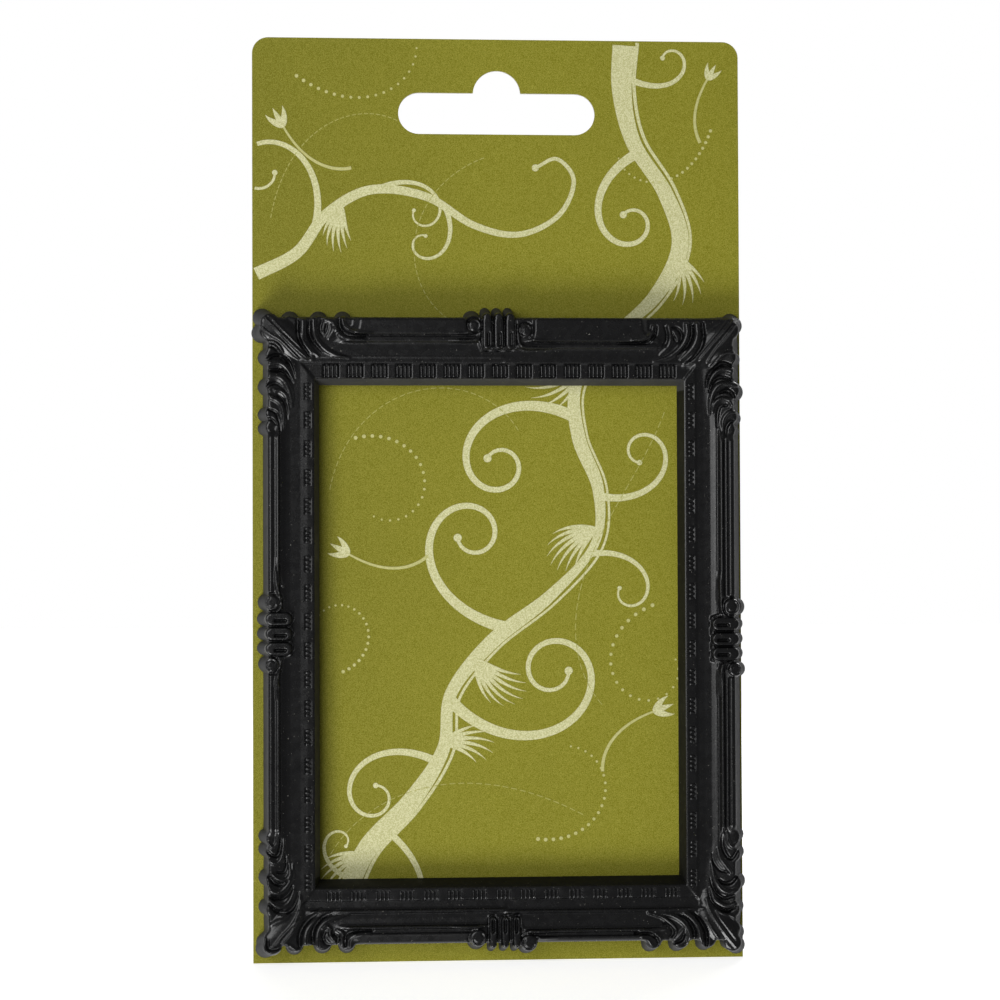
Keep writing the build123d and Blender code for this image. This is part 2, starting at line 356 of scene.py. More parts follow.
BOTTOM_LEFT = [
    (0.75, 4.3), (0.92, 4.42), (1.1, 4.44), (2.6, 4.42), (2.8, 4.14), (3.7, 4.38), (3.9, 4.5), (4.15, 4.92),
    (4.3, 4.98), (4.45, 4.9), (4.65, 4.7), (5.4, 4.74), (6.1, 4.9), (6.35, 5.1), (6.55, 5.5), (6.68, 5.56),
    (6.85, 5.42), (7.0, 5.15), (7.45, 5.15), (7.65, 5.42), (7.78, 5.48), (8.0, 5.38), (9.3, 4.75),
    (12.0, 4.7),
]
BOTTOM_RIGHT = [
    (0.75, 4.3), (0.92, 4.42), (1.1, 4.44), (2.6, 4.42), (2.8, 4.14), (4.0, 4.4), (4.2, 4.5), (4.45, 4.92),
    (4.58, 4.98), (4.72, 4.9), (4.95, 4.7), (6.0, 4.74), (6.9, 4.9), (7.15, 5.1), (7.38, 5.5), (7.5, 5.56),
    (7.66, 5.42), (7.85, 5.12), (8.2, 5.1), (8.4, 5.38), (8.52, 5.44), (8.7, 5.3), (9.25, 5.0), (12.0, 4.9),
]

# Lobes that stand out of the outline: x, y and radius at the front
LOBES = [
    (-35.2, 47.3, 1.45), (-32.1, 46.95, 1.4), (-27.7, 46.95, 1.4), (-24.0, 47.0, 1.35), (-35.35, 46.1, 1.5),
    (-34.6, 42.3, 1.3), (-34.5, 37.8, 1.4), (-34.75, 33.5, 1.15), (-34.8, 31.4, 1.1), (35.4, 46.3, 1.5),
    (35.0, 46.9, 1.3), (35.2, 42.2, 1.35), (35.5, 37.1, 1.5), (35.4, 33.0, 1.25), (35.25, 31.0, 1.1),
    (-34.9, -47.2, 1.45), (-31.6, -46.9, 1.35), (-27.3, -46.7, 1.4), (-23.6, -46.8, 1.3),
    (-34.9, -46.2, 1.35), (-34.65, -41.8, 1.25), (-34.55, -37.3, 1.35), (-34.75, -33.0, 1.15),
    (-34.8, -31.0, 1.1), (35.4, -47.6, 1.4), (31.6, -47.1, 1.3), (27.4, -47.2, 1.3), (23.2, -47.2, 1.3),
    (35.3, -45.6, 1.4), (35.3, -42.6, 1.35), (35.5, -38.7, 1.4), (35.5, -34.2, 1.25), (35.5, -31.5, 1.2),
    (-4.1, 47.1, 1.4), (-3.7, -46.4, 1.4), (4.05, -47.1, 1.4), (-34.6, 4.7, 1.35), (-34.6, -4.75, 1.3),
    (35.6, 3.75, 1.45), (35.9, -5.9, 1.2),
]

# Bars: x, y of the inner end, x, y of the outer end, half width, and how far the slot lies off the middle
BARS = (
    [(x, 43.98, x, 48.2, 0.78, 0.2) for x in (-2.02, -0.25, 1.52)]
    + [(x, -43.8, x, -47.5, 0.62, 0.0) for x in (-1.43, 0.43, 2.14)]
    + [(-32.9, y, -35.0, y, 1.06, -0.25) for y in (2.2, -0.05, -2.3)]
    + [(33.4, y, 35.7, y, 1.05, -0.15) for y in (1.1, -1.2, -3.45)]
)

# Scroll knobs: x, y, radius, and the angle in degrees where the scroll opens
KNOBS = [
    (-3.95, 46.95, 1.05, 200), (3.92, 46.26, 1.0, 290), (-3.7, -46.45, 1.35, 130), (4.05, -47.3, 1.35, 60),
    (-35.0, 4.7, 1.25, 40), (-35.05, -4.75, 1.2, -40), (35.5, 3.75, 1.3, 140), (36.0, -5.9, 1.1, 220),
]

# Each corner's ground, where the rails' lines stop, and the strokes of its carving, as distances from the
# window's middle. A stroke has its points, half width, rise, start and end shares of the width, and at
# times a power that shapes its section.
TOP_LEFT_GROUND = [
    (40, 52), (21.6, 52), (22.2, 46.8), (24.0, 45.0), (26.0, 43.4), (28.4, 42.2), (31.2, 41.6), (31.9, 38.5),
    (32.6, 36.0), (33.2, 33.0), (34.2, 30.6), (40, 30.2),
]
TOP_LEFT_STROKES = [
    ([(36.2, 48.3), (34.0, 46.4), (32.3, 44.7), (30.7, 43.2), (28.9, 42.1)], 2.1, 0.5, 0.9, 0.3, 3),
    ([(36.0, 48.1), (34.0, 46.1), (31.9, 44.0), (29.6, 41.9)], 0.3, 0.2, 0.6, 0.8),
    ([(33.2, 45.3), (31.9, 44.0), (30.6, 42.8), (29.5, 42.0)], 0.5, 0.24, 0.6, 0.8, 1),
    ([(34.6, 47.6), (32.9, 45.9), (31.3, 44.3), (29.6, 42.7)], 0.24, 0.18, 0.6, 0.8),
    ([(36.6, 46.8), (35.3, 45.6), (33.6, 44.6), (32.2, 43.2), (30.9, 41.9)], 0.3, 0.2, 0.6, 0.8),
    ([(30.98, 47.6), (30.98, 45.6), (30.6, 44.4), (29.9, 43.3), (29.1, 42.3)], 0.36, -0.6, 0.8, 0.4),
    ([(30.1, 47.6), (30.1, 45.4), (29.6, 44.1), (28.7, 43.0), (27.8, 42.3)], 0.62, 0.42, 0.9, 0.4),
    ([(29.15, 47.4), (29.15, 45.6), (28.6, 44.5), (27.8, 43.6), (27.2, 43.0)], 0.32, -0.5, 0.8, 0.4),
    ([(28.5, 48.2), (28.45, 46.4), (28.1, 44.9), (27.0, 43.5), (25.3, 42.5), (23.0, 41.95)], 0.55, 0.4, 0.9,
      0.3),
    ([(27.1, 47.7), (27.5, 46.8), (27.4, 45.9), (27.0, 45.3)], 0.3, -0.4, 0.7, 0.4),
    ([(26.5, 47.0), (26.7, 46.2), (27.0, 45.5)], 0.26, -0.35, 0.7, 0.4),
    ([(26.9, 47.9), (25.6, 47.4), (25.4, 46.2), (26.2, 45.0)], 0.6, 0.3, 0.7, 0.5),
    ([(24.6, 47.9), (24.5, 46.7), (23.9, 45.9), (23.1, 45.5), (21.6, 45.38), (20.4, 45.38)], 0.3, -0.45, 0.8,
      0.8),
    ([(24.1, 47.9), (23.9, 47.0), (23.2, 46.3), (22.3, 45.9), (21.0, 45.75), (19.8, 45.72)], 0.42, 0.38, 0.9,
      0.5),
    ([(25.2, 46.6), (24.5, 45.4), (23.4, 44.8), (22.2, 44.6), (20.8, 44.55)], 0.5, 0.25, 0.6, 0.8),
    ([(35.8, 44.5), (34.7, 44.3), (33.9, 43.8), (33.2, 42.8)], 0.32, 0.42, 0.9, 0.5),
    ([(36.0, 43.9), (34.8, 43.7), (34.0, 43.1), (33.6, 42.4)], 0.34, -0.3, 0.9, 0.5),
    ([(35.6, 41.7), (35.0, 42.2), (34.0, 42.4), (33.0, 42.0), (32.2, 41.2), (31.7, 40.0), (31.4, 38.9)],
      0.36, -0.6, 0.8, 0.3),
    ([(35.7, 40.9), (34.6, 41.3), (33.4, 41.1), (32.5, 40.3), (31.9, 39.0)], 0.55, 0.42, 0.9, 0.4),
    ([(35.7, 40.2), (34.8, 40.15), (33.7, 40.1), (32.9, 39.7), (32.2, 39.0), (31.7, 38.2)], 0.3, -0.5, 0.8,
      0.4),
    ([(36.0, 38.9), (34.8, 39.3), (33.5, 39.0), (32.6, 38.0), (32.0, 36.4), (31.8, 34.6)], 0.6, 0.4, 0.8,
      0.3),
    ([(35.8, 37.2), (35.2, 37.9), (34.2, 38.1), (33.4, 37.6)], 0.34, -0.5, 0.7, 0.4),
    ([(34.4, 37.0), (33.5, 36.9), (32.7, 36.2), (32.5, 35.2)], 0.4, 0.35, 0.6, 0.4),
    ([(35.8, 36.4), (35.0, 35.9), (34.1, 35.5), (33.4, 34.7), (33.05, 33.4), (33.0, 31.0)], 0.45, 0.35, 0.9,
      0.3),
    ([(34.0, 36.3), (33.2, 35.6), (32.7, 34.4), (32.5, 32.6)], 0.28, -0.35, 0.6, 0.3),
    ([(36.3, 32.5), (35.0, 32.6), (34.2, 31.8)], 0.3, -0.45, 0.9, 0.5),
    ([(35.3, 34.1), (34.3, 33.6), (33.8, 32.4), (33.7, 30.8)], 0.32, -0.35, 0.8, 0.6),
]
TOP_RIGHT_GROUND = [
    (40, 52), (21.8, 52), (22.6, 46.3), (24.2, 44.8), (25.6, 43.2), (28.2, 41.6), (31.4, 40.8), (32.0, 37.6),
    (32.6, 34.6), (33.4, 31.6), (34.4, 30.0), (40, 29.8),
]
TOP_RIGHT_STROKES = [
    ([(36.6, 47.2), (35.0, 45.8), (33.4, 44.4), (32.2, 43.1), (30.4, 41.6), (28.6, 40.9)], 2.1, 0.5, 0.9,
      0.25, 3),
    ([(36.5, 47.4), (35.0, 45.4), (33.3, 43.3), (32.0, 41.4)], 0.26, 0.28, 0.7, 0.7),
    ([(36.0, 47.8), (34.4, 45.9), (32.6, 43.9), (30.9, 41.8)], 0.28, 0.3, 0.7, 0.7),
    ([(34.9, 47.6), (33.4, 45.8), (31.9, 44.0), (30.2, 42.1)], 0.24, 0.18, 0.6, 0.7),
    ([(36.0, 42.9), (34.7, 42.7), (33.3, 41.2), (32.3, 39.8)], 0.3, 0.3, 0.8, 0.6),
    ([(31.3, 47.4), (31.45, 45.4), (31.1, 43.9), (30.5, 42.9), (29.7, 42.0), (28.8, 41.3)], 0.36, -0.6, 0.8,
      0.4),
    ([(30.4, 47.2), (30.5, 45.4), (30.0, 43.9), (29.0, 42.7), (27.9, 41.8)], 0.6, 0.42, 0.9, 0.4),
    ([(29.6, 47.0), (29.6, 45.6), (29.1, 44.3), (28.3, 43.3), (27.3, 42.4)], 0.32, -0.5, 0.8, 0.4),
    ([(28.8, 47.2), (28.9, 45.8), (28.4, 44.3), (27.4, 43.1), (25.9, 42.1), (23.7, 41.5)], 0.55, 0.4, 0.9,
      0.3),
    ([(26.7, 46.8), (27.5, 46.5), (28.0, 45.7), (27.9, 44.8), (27.3, 44.2)], 0.3, -0.45, 0.7, 0.4),
    ([(26.5, 46.0), (26.9, 45.2), (27.3, 44.5)], 0.26, -0.35, 0.7, 0.4),
    ([(26.0, 47.0), (26.2, 45.8), (26.3, 44.6), (25.8, 43.5), (24.7, 42.6)], 0.5, 0.3, 0.6, 0.4),
    ([(25.4, 46.9), (25.8, 45.4), (25.4, 44.2), (24.3, 43.3)], 0.3, -0.25, 0.6, 0.4),
    ([(24.1, 46.9), (23.9, 45.6), (23.3, 44.8), (22.3, 44.35), (20.6, 44.25), (19.6, 44.25)], 0.3, -0.45,
      0.8, 0.8),
    ([(23.6, 46.9), (23.3, 45.8), (22.5, 45.1), (21.4, 44.75), (20.2, 44.65)], 0.42, 0.36, 0.9, 0.5),
    ([(35.9, 40.8), (34.6, 41.3), (33.6, 40.9), (32.7, 40.1), (32.1, 39.0), (31.8, 37.6)], 0.36, -0.6, 0.8,
      0.3),
    ([(36.2, 43.6), (34.8, 42.9), (33.4, 42.1), (32.4, 40.9)], 0.5, 0.3, 0.9, 0.4, 1.3),
    ([(36.0, 40.0), (34.8, 40.3), (33.6, 40.0), (32.7, 39.0), (32.2, 37.4)], 0.55, 0.42, 0.9, 0.4),
    ([(35.8, 38.7), (34.4, 39.15), (33.4, 38.9), (32.7, 38.1), (32.3, 36.8)], 0.32, -0.5, 0.8, 0.4),
    ([(36.5, 37.9), (35.2, 38.0), (33.9, 37.9), (33.0, 36.9), (32.5, 35.4), (32.3, 33.4)], 0.55, 0.4, 0.8,
      0.3),
    ([(36.2, 35.8), (35.7, 36.7), (34.8, 37.05), (33.7, 36.6)], 0.42, -0.6, 0.7, 0.4),
    ([(35.9, 34.7), (35.2, 35.6), (34.0, 35.7), (33.1, 35.0), (32.8, 33.8)], 0.45, 0.4, 0.8, 0.4),
    ([(35.0, 34.8), (34.0, 34.6), (33.6, 33.4), (33.5, 31.4)], 0.3, -0.4, 0.7, 0.5),
    ([(36.6, 32.0), (35.6, 32.3), (34.9, 31.4), (34.8, 30.0)], 0.34, -0.45, 0.9, 0.5),
    ([(36.4, 33.8), (35.2, 33.6), (34.4, 32.4), (34.3, 30.6)], 0.4, 0.3, 0.8, 0.5),
]
BOTTOM_LEFT_GROUND = [
    (40, 52), (21.4, 52), (22.4, 46.8), (24.2, 44.9), (26.4, 43.6), (29.0, 42.6), (31.0, 41.8), (31.6, 39.0),
    (32.6, 36.4), (33.3, 33.4), (34.2, 30.4), (40, 30.0),
]
BOTTOM_LEFT_STROKES = [
    ([(35.4, 47.8), (34.2, 46.1), (33.2, 44.7), (32.1, 43.3), (31.4, 41.9), (30.9, 40.0)], 2.1, 0.5, 0.9,
      0.25, 3),
    ([(34.7, 47.2), (33.4, 45.7), (31.9, 44.1), (30.9, 42.2), (30.6, 40.4)], 0.28, 0.26, 0.7, 0.7),
    ([(33.4, 46.8), (32.0, 45.1), (31.2, 43.6), (29.6, 42.7), (27.6, 41.8)], 0.26, 0.24, 0.7, 0.7),
    ([(36.1, 46.0), (36.2, 47.5), (35.5, 48.3), (34.3, 48.1), (33.2, 47.6)], 0.34, 0.3, 0.9, 0.7),
    ([(35.6, 46.4), (35.5, 47.5), (34.8, 47.7), (33.8, 47.4)], 0.3, -0.34, 0.8, 0.6),
    ([(33.2, 47.7), (32.5, 47.2), (31.8, 47.6), (31.2, 48.0)], 0.3, 0.3, 0.8, 0.8),
    ([(30.8, 47.6), (30.9, 46.1), (30.6, 45.0), (30.0, 44.0), (29.2, 43.2), (28.2, 42.6)], 0.38, -0.62, 0.8,
      0.4),
    ([(29.9, 47.4), (29.9, 46.0), (29.6, 44.9), (28.8, 43.9), (27.6, 43.0)], 0.58, 0.42, 0.9, 0.4),
    ([(28.8, 47.0), (28.9, 45.6), (28.5, 44.3), (27.7, 43.3), (26.4, 42.6), (24.8, 42.1)], 0.32, -0.5, 0.8,
      0.3),
    ([(28.1, 47.4), (28.1, 45.8), (27.7, 44.6), (26.8, 43.7), (25.4, 43.1), (23.4, 42.7)], 0.5, 0.4, 0.9,
      0.4),
    ([(27.0, 45.3), (27.3, 46.1), (26.9, 46.9), (26.2, 47.2)], 0.34, -0.5, 0.7, 0.5),
    ([(27.3, 44.8), (26.7, 44.4), (26.2, 44.8), (26.2, 45.7), (25.4, 46.9)], 0.34, 0.45, 0.7, 0.6),
    ([(25.5, 45.6), (25.0, 46.1), (25.2, 46.9)], 0.3, -0.4, 0.8, 0.6),
    ([(25.2, 44.9), (24.4, 45.4), (24.3, 46.4), (24.5, 47.4)], 0.45, 0.35, 0.6, 0.7),
    ([(23.9, 47.4), (24.0, 46.1), (23.5, 45.5), (22.6, 45.15), (21.2, 45.05), (19.8, 45.05)], 0.3, -0.45,
      0.8, 0.8),
    ([(23.4, 47.4), (23.3, 46.5), (22.7, 45.9), (21.6, 45.5), (20.2, 45.4)], 0.4, 0.36, 0.9, 0.5),
    ([(35.4, 44.1), (34.2, 43.6), (33.0, 43.2), (32.2, 42.6)], 0.42, 0.3, 0.9, 0.4, 1.3),
    ([(35.4, 40.9), (34.4, 42.0), (33.0, 42.3), (31.9, 41.6), (31.3, 40.5), (30.9, 39.2)], 0.36, -0.6, 0.8,
      0.3),
    ([(35.6, 40.4), (34.5, 41.1), (33.2, 41.3), (32.2, 40.4), (31.6, 38.9)], 0.55, 0.42, 0.9, 0.4),
    ([(35.6, 39.6), (34.6, 40.1), (33.4, 40.1), (32.4, 39.3), (31.8, 38.2)], 0.3, -0.5, 0.8, 0.4),
    ([(35.8, 38.3), (34.9, 39.0), (33.8, 39.2), (32.7, 38.3), (32.0, 36.9), (31.8, 35.0)], 0.55, 0.4, 0.9,
      0.3),
    ([(35.5, 36.8), (34.6, 37.8), (33.4, 38.0), (32.6, 37.4)], 0.36, -0.5, 0.7, 0.4),
    ([(35.0, 36.4), (34.0, 37.2), (32.9, 37.3), (32.3, 36.4), (32.3, 34.9)], 0.36, 0.4, 0.7, 0.3),
    ([(34.2, 36.2), (33.2, 36.2), (32.8, 35.2), (32.9, 33.6)], 0.3, -0.38, 0.7, 0.4),
    ([(35.4, 34.4), (34.4, 34.8), (33.6, 34.2), (33.2, 32.6), (33.1, 31.0)], 0.4, 0.35, 0.9, 0.4),
    ([(36.0, 32.3), (35.3, 33.4), (34.3, 33.7), (33.8, 32.8), (33.7, 31.0)], 0.34, -0.45, 0.9, 0.5),
    ([(35.8, 31.6), (34.9, 32.3), (34.3, 31.8), (34.2, 30.4)], 0.32, 0.3, 0.9, 0.5),
]
BOTTOM_RIGHT_GROUND = [
    (40, 52), (21.4, 52), (22.6, 47.4), (24.4, 46.0), (26.4, 44.6), (28.8, 43.2), (31.0, 42.2), (31.6, 39.0),
    (32.0, 36.6), (32.8, 33.6), (34.2, 30.6), (40, 30.2),
]
BOTTOM_RIGHT_STROKES = [
    ([(36.1, 48.4), (35.0, 47.2), (34.0, 45.9), (32.9, 44.5), (32.0, 43.1), (31.6, 41.6), (31.4, 40.0)], 2.1,
      0.5, 0.9, 0.25, 3),
    ([(36.1, 48.5), (34.5, 46.6), (33.6, 45.3), (32.7, 44.0), (31.9, 42.6), (31.4, 41.0)], 0.42, 0.2, 0.9,
      0.9, 1),
    ([(35.6, 47.2), (34.2, 45.4), (33.2, 44.0), (32.6, 42.8)], 0.3, -0.2, 0.7, 0.6),
    ([(34.6, 49.0), (33.4, 47.3), (32.3, 45.7), (31.4, 44.0)], 0.26, 0.16, 0.7, 0.7),
    ([(31.4, 48.0), (31.35, 46.3), (30.9, 45.0), (30.2, 44.0), (29.3, 43.1), (28.6, 42.7)], 0.38, -0.62, 0.8,
      0.4),
    ([(30.4, 47.8), (30.4, 46.2), (29.9, 44.8), (29.0, 43.8), (28.0, 43.2)], 0.58, 0.42, 0.9, 0.4),
    ([(29.5, 47.2), (29.5, 45.9), (29.0, 44.8), (28.2, 43.9), (27.2, 43.3)], 0.32, -0.5, 0.8, 0.4),
    ([(28.7, 47.8), (28.8, 46.4), (28.2, 45.0), (27.2, 44.0), (25.6, 43.3), (23.6, 42.95)], 0.5, 0.4, 0.9,
      0.4),
    ([(27.9, 46.4), (27.6, 47.1), (26.8, 47.5), (25.9, 47.8)], 0.36, -0.55, 0.8, 0.5),
    ([(27.8, 45.6), (27.1, 46.6), (26.4, 47.2)], 0.4, 0.3, 0.7, 0.6),
    ([(22.4, 43.0), (24.4, 43.6), (25.6, 44.4), (26.4, 45.2), (26.7, 46.0), (26.2, 46.9)], 0.36, 0.42, 0.5,
      0.6),
    ([(24.8, 44.6), (25.9, 45.3), (26.2, 46.1), (25.6, 46.9)], 0.3, -0.42, 0.6, 0.6),
    ([(20.4, 46.05), (22.2, 46.1), (23.2, 46.5), (23.9, 47.3), (24.0, 48.0)], 0.3, -0.45, 0.8, 0.8),
    ([(21.0, 45.75), (22.8, 45.85), (23.9, 46.4), (24.5, 47.3)], 0.38, 0.35, 0.6, 0.9),
    ([(21.4, 46.9), (22.4, 47.2), (22.9, 47.9)], 0.4, 0.3, 0.9, 0.7),
    ([(36.4, 44.2), (35.0, 43.5), (33.6, 42.9), (32.7, 42.3)], 0.42, 0.3, 0.9, 0.4, 1.3),
    ([(35.8, 42.3), (34.4, 42.85), (33.2, 42.4), (32.2, 41.3), (31.8, 40.0)], 0.36, -0.6, 0.8, 0.3),
    ([(36.0, 41.7), (34.7, 42.1), (33.6, 41.8), (32.6, 40.8), (32.1, 39.3)], 0.5, 0.42, 0.9, 0.4),
    ([(35.6, 40.6), (34.3, 40.9), (33.3, 40.4), (32.5, 39.3), (32.1, 37.9)], 0.32, -0.5, 0.8, 0.4),
    ([(36.2, 39.8), (34.9, 40.0), (33.8, 39.6), (33.0, 38.5), (32.5, 37.2), (32.2, 35.4)], 0.5, 0.42, 0.9,
      0.3),
    ([(36.1, 37.6), (35.2, 38.5), (34.2, 38.6), (33.4, 38.0)], 0.4, -0.55, 0.8, 0.4),
    ([(34.6, 36.9), (33.6, 36.6), (32.7, 35.4), (32.4, 34.0)], 0.32, -0.35, 0.8, 0.4),
    ([(35.2, 37.0), (34.4, 35.9), (33.5, 34.6), (33.2, 33.2)], 0.4, 0.35, 0.9, 0.4),
    ([(36.2, 33.6), (35.4, 34.8), (34.6, 34.4), (34.0, 33.0), (33.9, 31.0)], 0.36, -0.5, 0.9, 0.5),
    ([(36.4, 32.4), (35.4, 33.0), (34.8, 32.2), (34.6, 30.6)], 0.36, 0.35, 0.9, 0.5),
]

# Corners: the signs of x and y there, the ground and the strokes
CORNERS = (
    (-1, 1, TOP_LEFT_GROUND, TOP_LEFT_STROKES),
    (1, 1, TOP_RIGHT_GROUND, TOP_RIGHT_STROKES),
    (-1, -1, BOTTOM_LEFT_GROUND, BOTTOM_LEFT_STROKES),
    (1, -1, BOTTOM_RIGHT_GROUND, BOTTOM_RIGHT_STROKES),
)

# The middle of each rail: the ground's height and outline, where the rail's lines stop, and the strokes there
CENTRE_GROUNDS = [
    (5.35, [(-5.3, 52), (-5.2, 46.4), (-3.6, 45.2), (-2.9, 43.3), (2.5, 43.3), (3.3, 44.3), (5.0, 44.9),
      (5.2, 46.0), (5.2, 52)]),
    (5.1, [(-5.3, -52), (-5.2, -46.2), (-4.6, -45.3), (-3.4, -45.0), (-2.2, -44.6), (-2.0, -43.2),
      (2.7, -43.2), (3.0, -44.6), (3.8, -45.6), (5.4, -46.4), (5.5, -52)]),
    (5.2, [(-40, 6.2), (-34.2, 6.3), (-33.4, 4.8), (-33.2, 3.4), (-31.9, 3.2), (-31.9, -3.4), (-33.2, -3.6),
      (-33.6, -5.0), (-34.2, -6.2), (-40, -6.3)]),
    (5.25, [(40, 5.4), (34.4, 5.4), (33.9, 4.2), (34.2, 2.9), (32.4, 2.2), (32.4, -4.5), (34.2, -5.0),
      (34.8, -7.0), (40, -7.2)]),
]
CENTRE_STROKES = [
    ([(-7.0, 45.65), (-5.2, 45.7), (-4.7, 46.2), (-4.3, 45.85), (-3.6, 45.72), (-3.0, 46.2)], 0.3, 0.28, 0.8,
      0.6),
    ([(-7.0, 44.55), (-4.4, 44.55), (-3.6, 44.8), (-3.1, 45.6), (-3.05, 46.6)], 0.38, 0.35, 0.9, 0.5),
    ([(2.72, 46.9), (2.74, 45.0), (2.95, 44.15), (3.6, 43.56), (4.5, 43.42), (7.4, 43.42)], 0.4, 0.4, 0.7,
      0.7),
    ([(4.6, 45.2), (5.0, 44.75), (5.8, 44.58), (7.6, 44.56)], 0.3, 0.26, 0.5, 0.7),
    ([(-6.6, -44.78), (-4.9, -44.85), (-3.6, -45.0), (-2.6, -45.6), (-2.3, -46.6)], 0.36, 0.38, 0.8, 0.6),
    ([(2.75, -46.9), (3.1, -46.2), (3.8, -45.75), (4.8, -45.6), (7.0, -45.62)], 0.36, 0.36, 0.7, 0.7),
    ([(5.0, -46.2), (5.8, -46.6), (7.2, -46.6)], 0.3, 0.24, 0.6, 0.7),
    ([(-34.36, 9.4), (-34.3, 7.6), (-33.9, 6.4), (-33.5, 5.2), (-33.7, 3.9), (-34.6, 3.2), (-35.6, 3.35)],
      0.34, 0.34, 0.6, 0.7),
    ([(-33.6, 8.4), (-33.5, 7.6), (-33.0, 6.9)], 0.24, 0.2, 0.6, 0.6),
    ([(-34.3, -9.0), (-34.25, -7.2), (-33.8, -6.0), (-33.6, -4.8), (-34.0, -3.9)], 0.36, 0.34, 0.6, 0.6),
    ([(33.6, 8.6), (33.6, 6.4), (33.7, 4.3), (34.2, 2.9), (35.1, 2.3), (36.3, 2.7)], 0.4, 0.38, 0.7, 0.7),
    ([(33.5, -9.4), (33.55, -6.7), (33.9, -5.4), (34.7, -4.85), (35.3, -5.1)], 0.38, 0.36, 0.7, 0.7),
]

# The printed vine, a drawing of this model's own: its stem and side stem
STEM = [
    (20.0, 91.8), (19.6, 84.0), (21.4, 76.0), (26.4, 68.0), (28.6, 60.0), (24.6, 52.0), (17.0, 45.0),
    (12.2, 38.0), (12.6, 30.0), (15.6, 22.0), (15.0, 13.5), (8.0, 5.5), (-1.0, -1.5), (-7.4, -9.5),
    (-8.6, -18.0), (-13.6, -26.0), (-20.2, -33.0), (-23.4, -40.0), (-24.2, -44.8),
]
SIDE_STEM = [
    (-37.8, 55.0), (-31.0, 58.6), (-26.4, 64.6), (-19.6, 68.4), (-11.0, 67.4), (-3.6, 63.0), (3.4, 61.6),
    (9.6, 64.6), (12.0, 70.0), (9.4, 73.4), (6.0, 72.0),
]
# Curls that leave a stem: x, y, heading, length, first and last bend, width
CURLS = [
    (22.4, 74.6, 205, 30, 4.0, 30.0, 1.3), (19.8, 86.5, -30, 17, 4.0, 42.0, 0.9),
    (-28.6, 61.2, 70, 34, 3.6, 26.0, 1.0), (-19.0, 68.3, 30, 20, -5.0, -38.0, 0.7),
    (-8.4, 66.4, -60, 17, -6.0, -44.0, 0.7), (12.4, 33.0, 150, 42, 3.4, 25.0, 1.5),
    (15.7, 21.0, -15, 26, 5.0, 32.0, 1.0), (14.4, 12.0, 10, 20, -5.0, -36.0, 0.8),
    (1.5, 0.6, 170, 44, -3.0, -23.0, 1.5), (-7.6, -10.4, -50, 54, 3.2, 21.0, 1.5),
    (-9.6, -20.0, 150, 30, 4.2, 30.0, 1.0), (-17.8, -30.2, -35, 30, -3.2, -27.0, 0.9),
    (-22.6, -38.0, 160, 14, -6.0, -50.0, 0.7),
]
# Sprays of fine blades: x, y, heading, spread, count, length, bend
SPRAYS = [
    (28.0, 58.4, -60, 55, 6, 8.0, -4.5), (13.6, 40.6, 215, 60, 7, 10.0, -4.0),
    (-24.0, 66.0, 250, 50, 6, 7.5, 4.0), (15.4, 16.0, 200, 58, 7, 9.5, 4.0),
    (-3.6, -4.0, -60, 56, 7, 10.0, 4.0), (-9.0, -17.0, 10, 50, 6, 8.5, -4.0),
    (-20.8, -34.0, 200, 54, 6, 8.0, 4.0),
]
# Dotted arcs: x, y, heading, length, first and last bend, dot radius
DOTTED = [
    (-31.0, 86.0, -35, 26, 2.0, 9.0, 0.28), (33.5, 78.0, 250, 20, -2.0, -12.0, 0.26),
    (-22.0, 30.0, 15, 26, -5.0, -12.0, 0.3), (24.0, 4.0, 200, 30, 4.0, 14.0, 0.3),
    (-24.0, -6.0, 20, 20, 8.0, 16.0, 0.26), (6.0, -32.0, 350, 24, 5.0, 10.0, 0.3),
]
# Fine arcs: x, y, heading, length, first and last bend
FINE_ARCS = [
    (-35.0, 64.0, 80, 30, -1.5, -6.0), (-26.0, 22.0, 80, 40, -2.5, -4.5), (26.0, 34.0, 250, 50, -1.5, 4.0),
    (-26.0, -34.0, 60, 44, -3.0, -1.0), (-2.0, 73.5, 200, 34, 3.0, 5.0),
]
# Buds at the ends of side shoots: x, y, heading, size
BUDS = [
    (-33.0, 78.0, 120, 1.0), (24.0, -12.5, 20, 1.0), (-23.0, 12.0, 150, 1.0), (33.0, 86.0, 60, 0.8),
]


def between(a, b, share):
    """A value that goes from a to b."""
    return a * (1 - share) + b * share


def smooth_min(a, b, blend):
    """The lower of two distances, with a round inner corner."""
    k = np.clip(0.5 + 0.5 * (b - a) / blend, 0, 1)
    return b * (1 - k) + a * k - blend * k * (1 - k)


def smooth_step(low, high, value):
    """A share that goes smoothly from 0 at the low value to 1 at the high one."""
    t = np.clip((value - low) / (high - low), 0, 1)
    return t * t * (3 - 2 * t)


def line_share(distance, middle, half_width):
    """The share of its depth that a round groove has at a distance."""
    return np.clip(1 - ((distance - middle) / half_width) ** 2, 0, 1)


def to_segment(x, y, a, b):
    """Distance to the straight piece from a to b, and the share of it at the nearest point."""
    ax, ay = a
    dx, dy = b[0] - ax, b[1] - ay
    share = np.clip(((x - ax) * dx + (y - ay) * dy) / (dx * dx + dy * dy), 0, 1)
    return np.hypot(x - ax - share * dx, y - ay - share * dy), share


def capsule_distance(x, y, a, b, half_width):
    """Distance outside a bar with round ends, negative inside."""
    return to_segment(x, y, a, b)[0] - half_width


def plain_outline(x, y):
    """Distance outside the straight edges of the moulding's front, negative inside."""
    dx = np.maximum(EDGE_LEFT - x, x - EDGE_RIGHT)
    dy = np.maximum(EDGE_BOTTOM - y, y - EDGE_TOP)
    return np.hypot(np.maximum(dx, 0), np.maximum(dy, 0)) + np.minimum(np.maximum(dx, dy), 0)


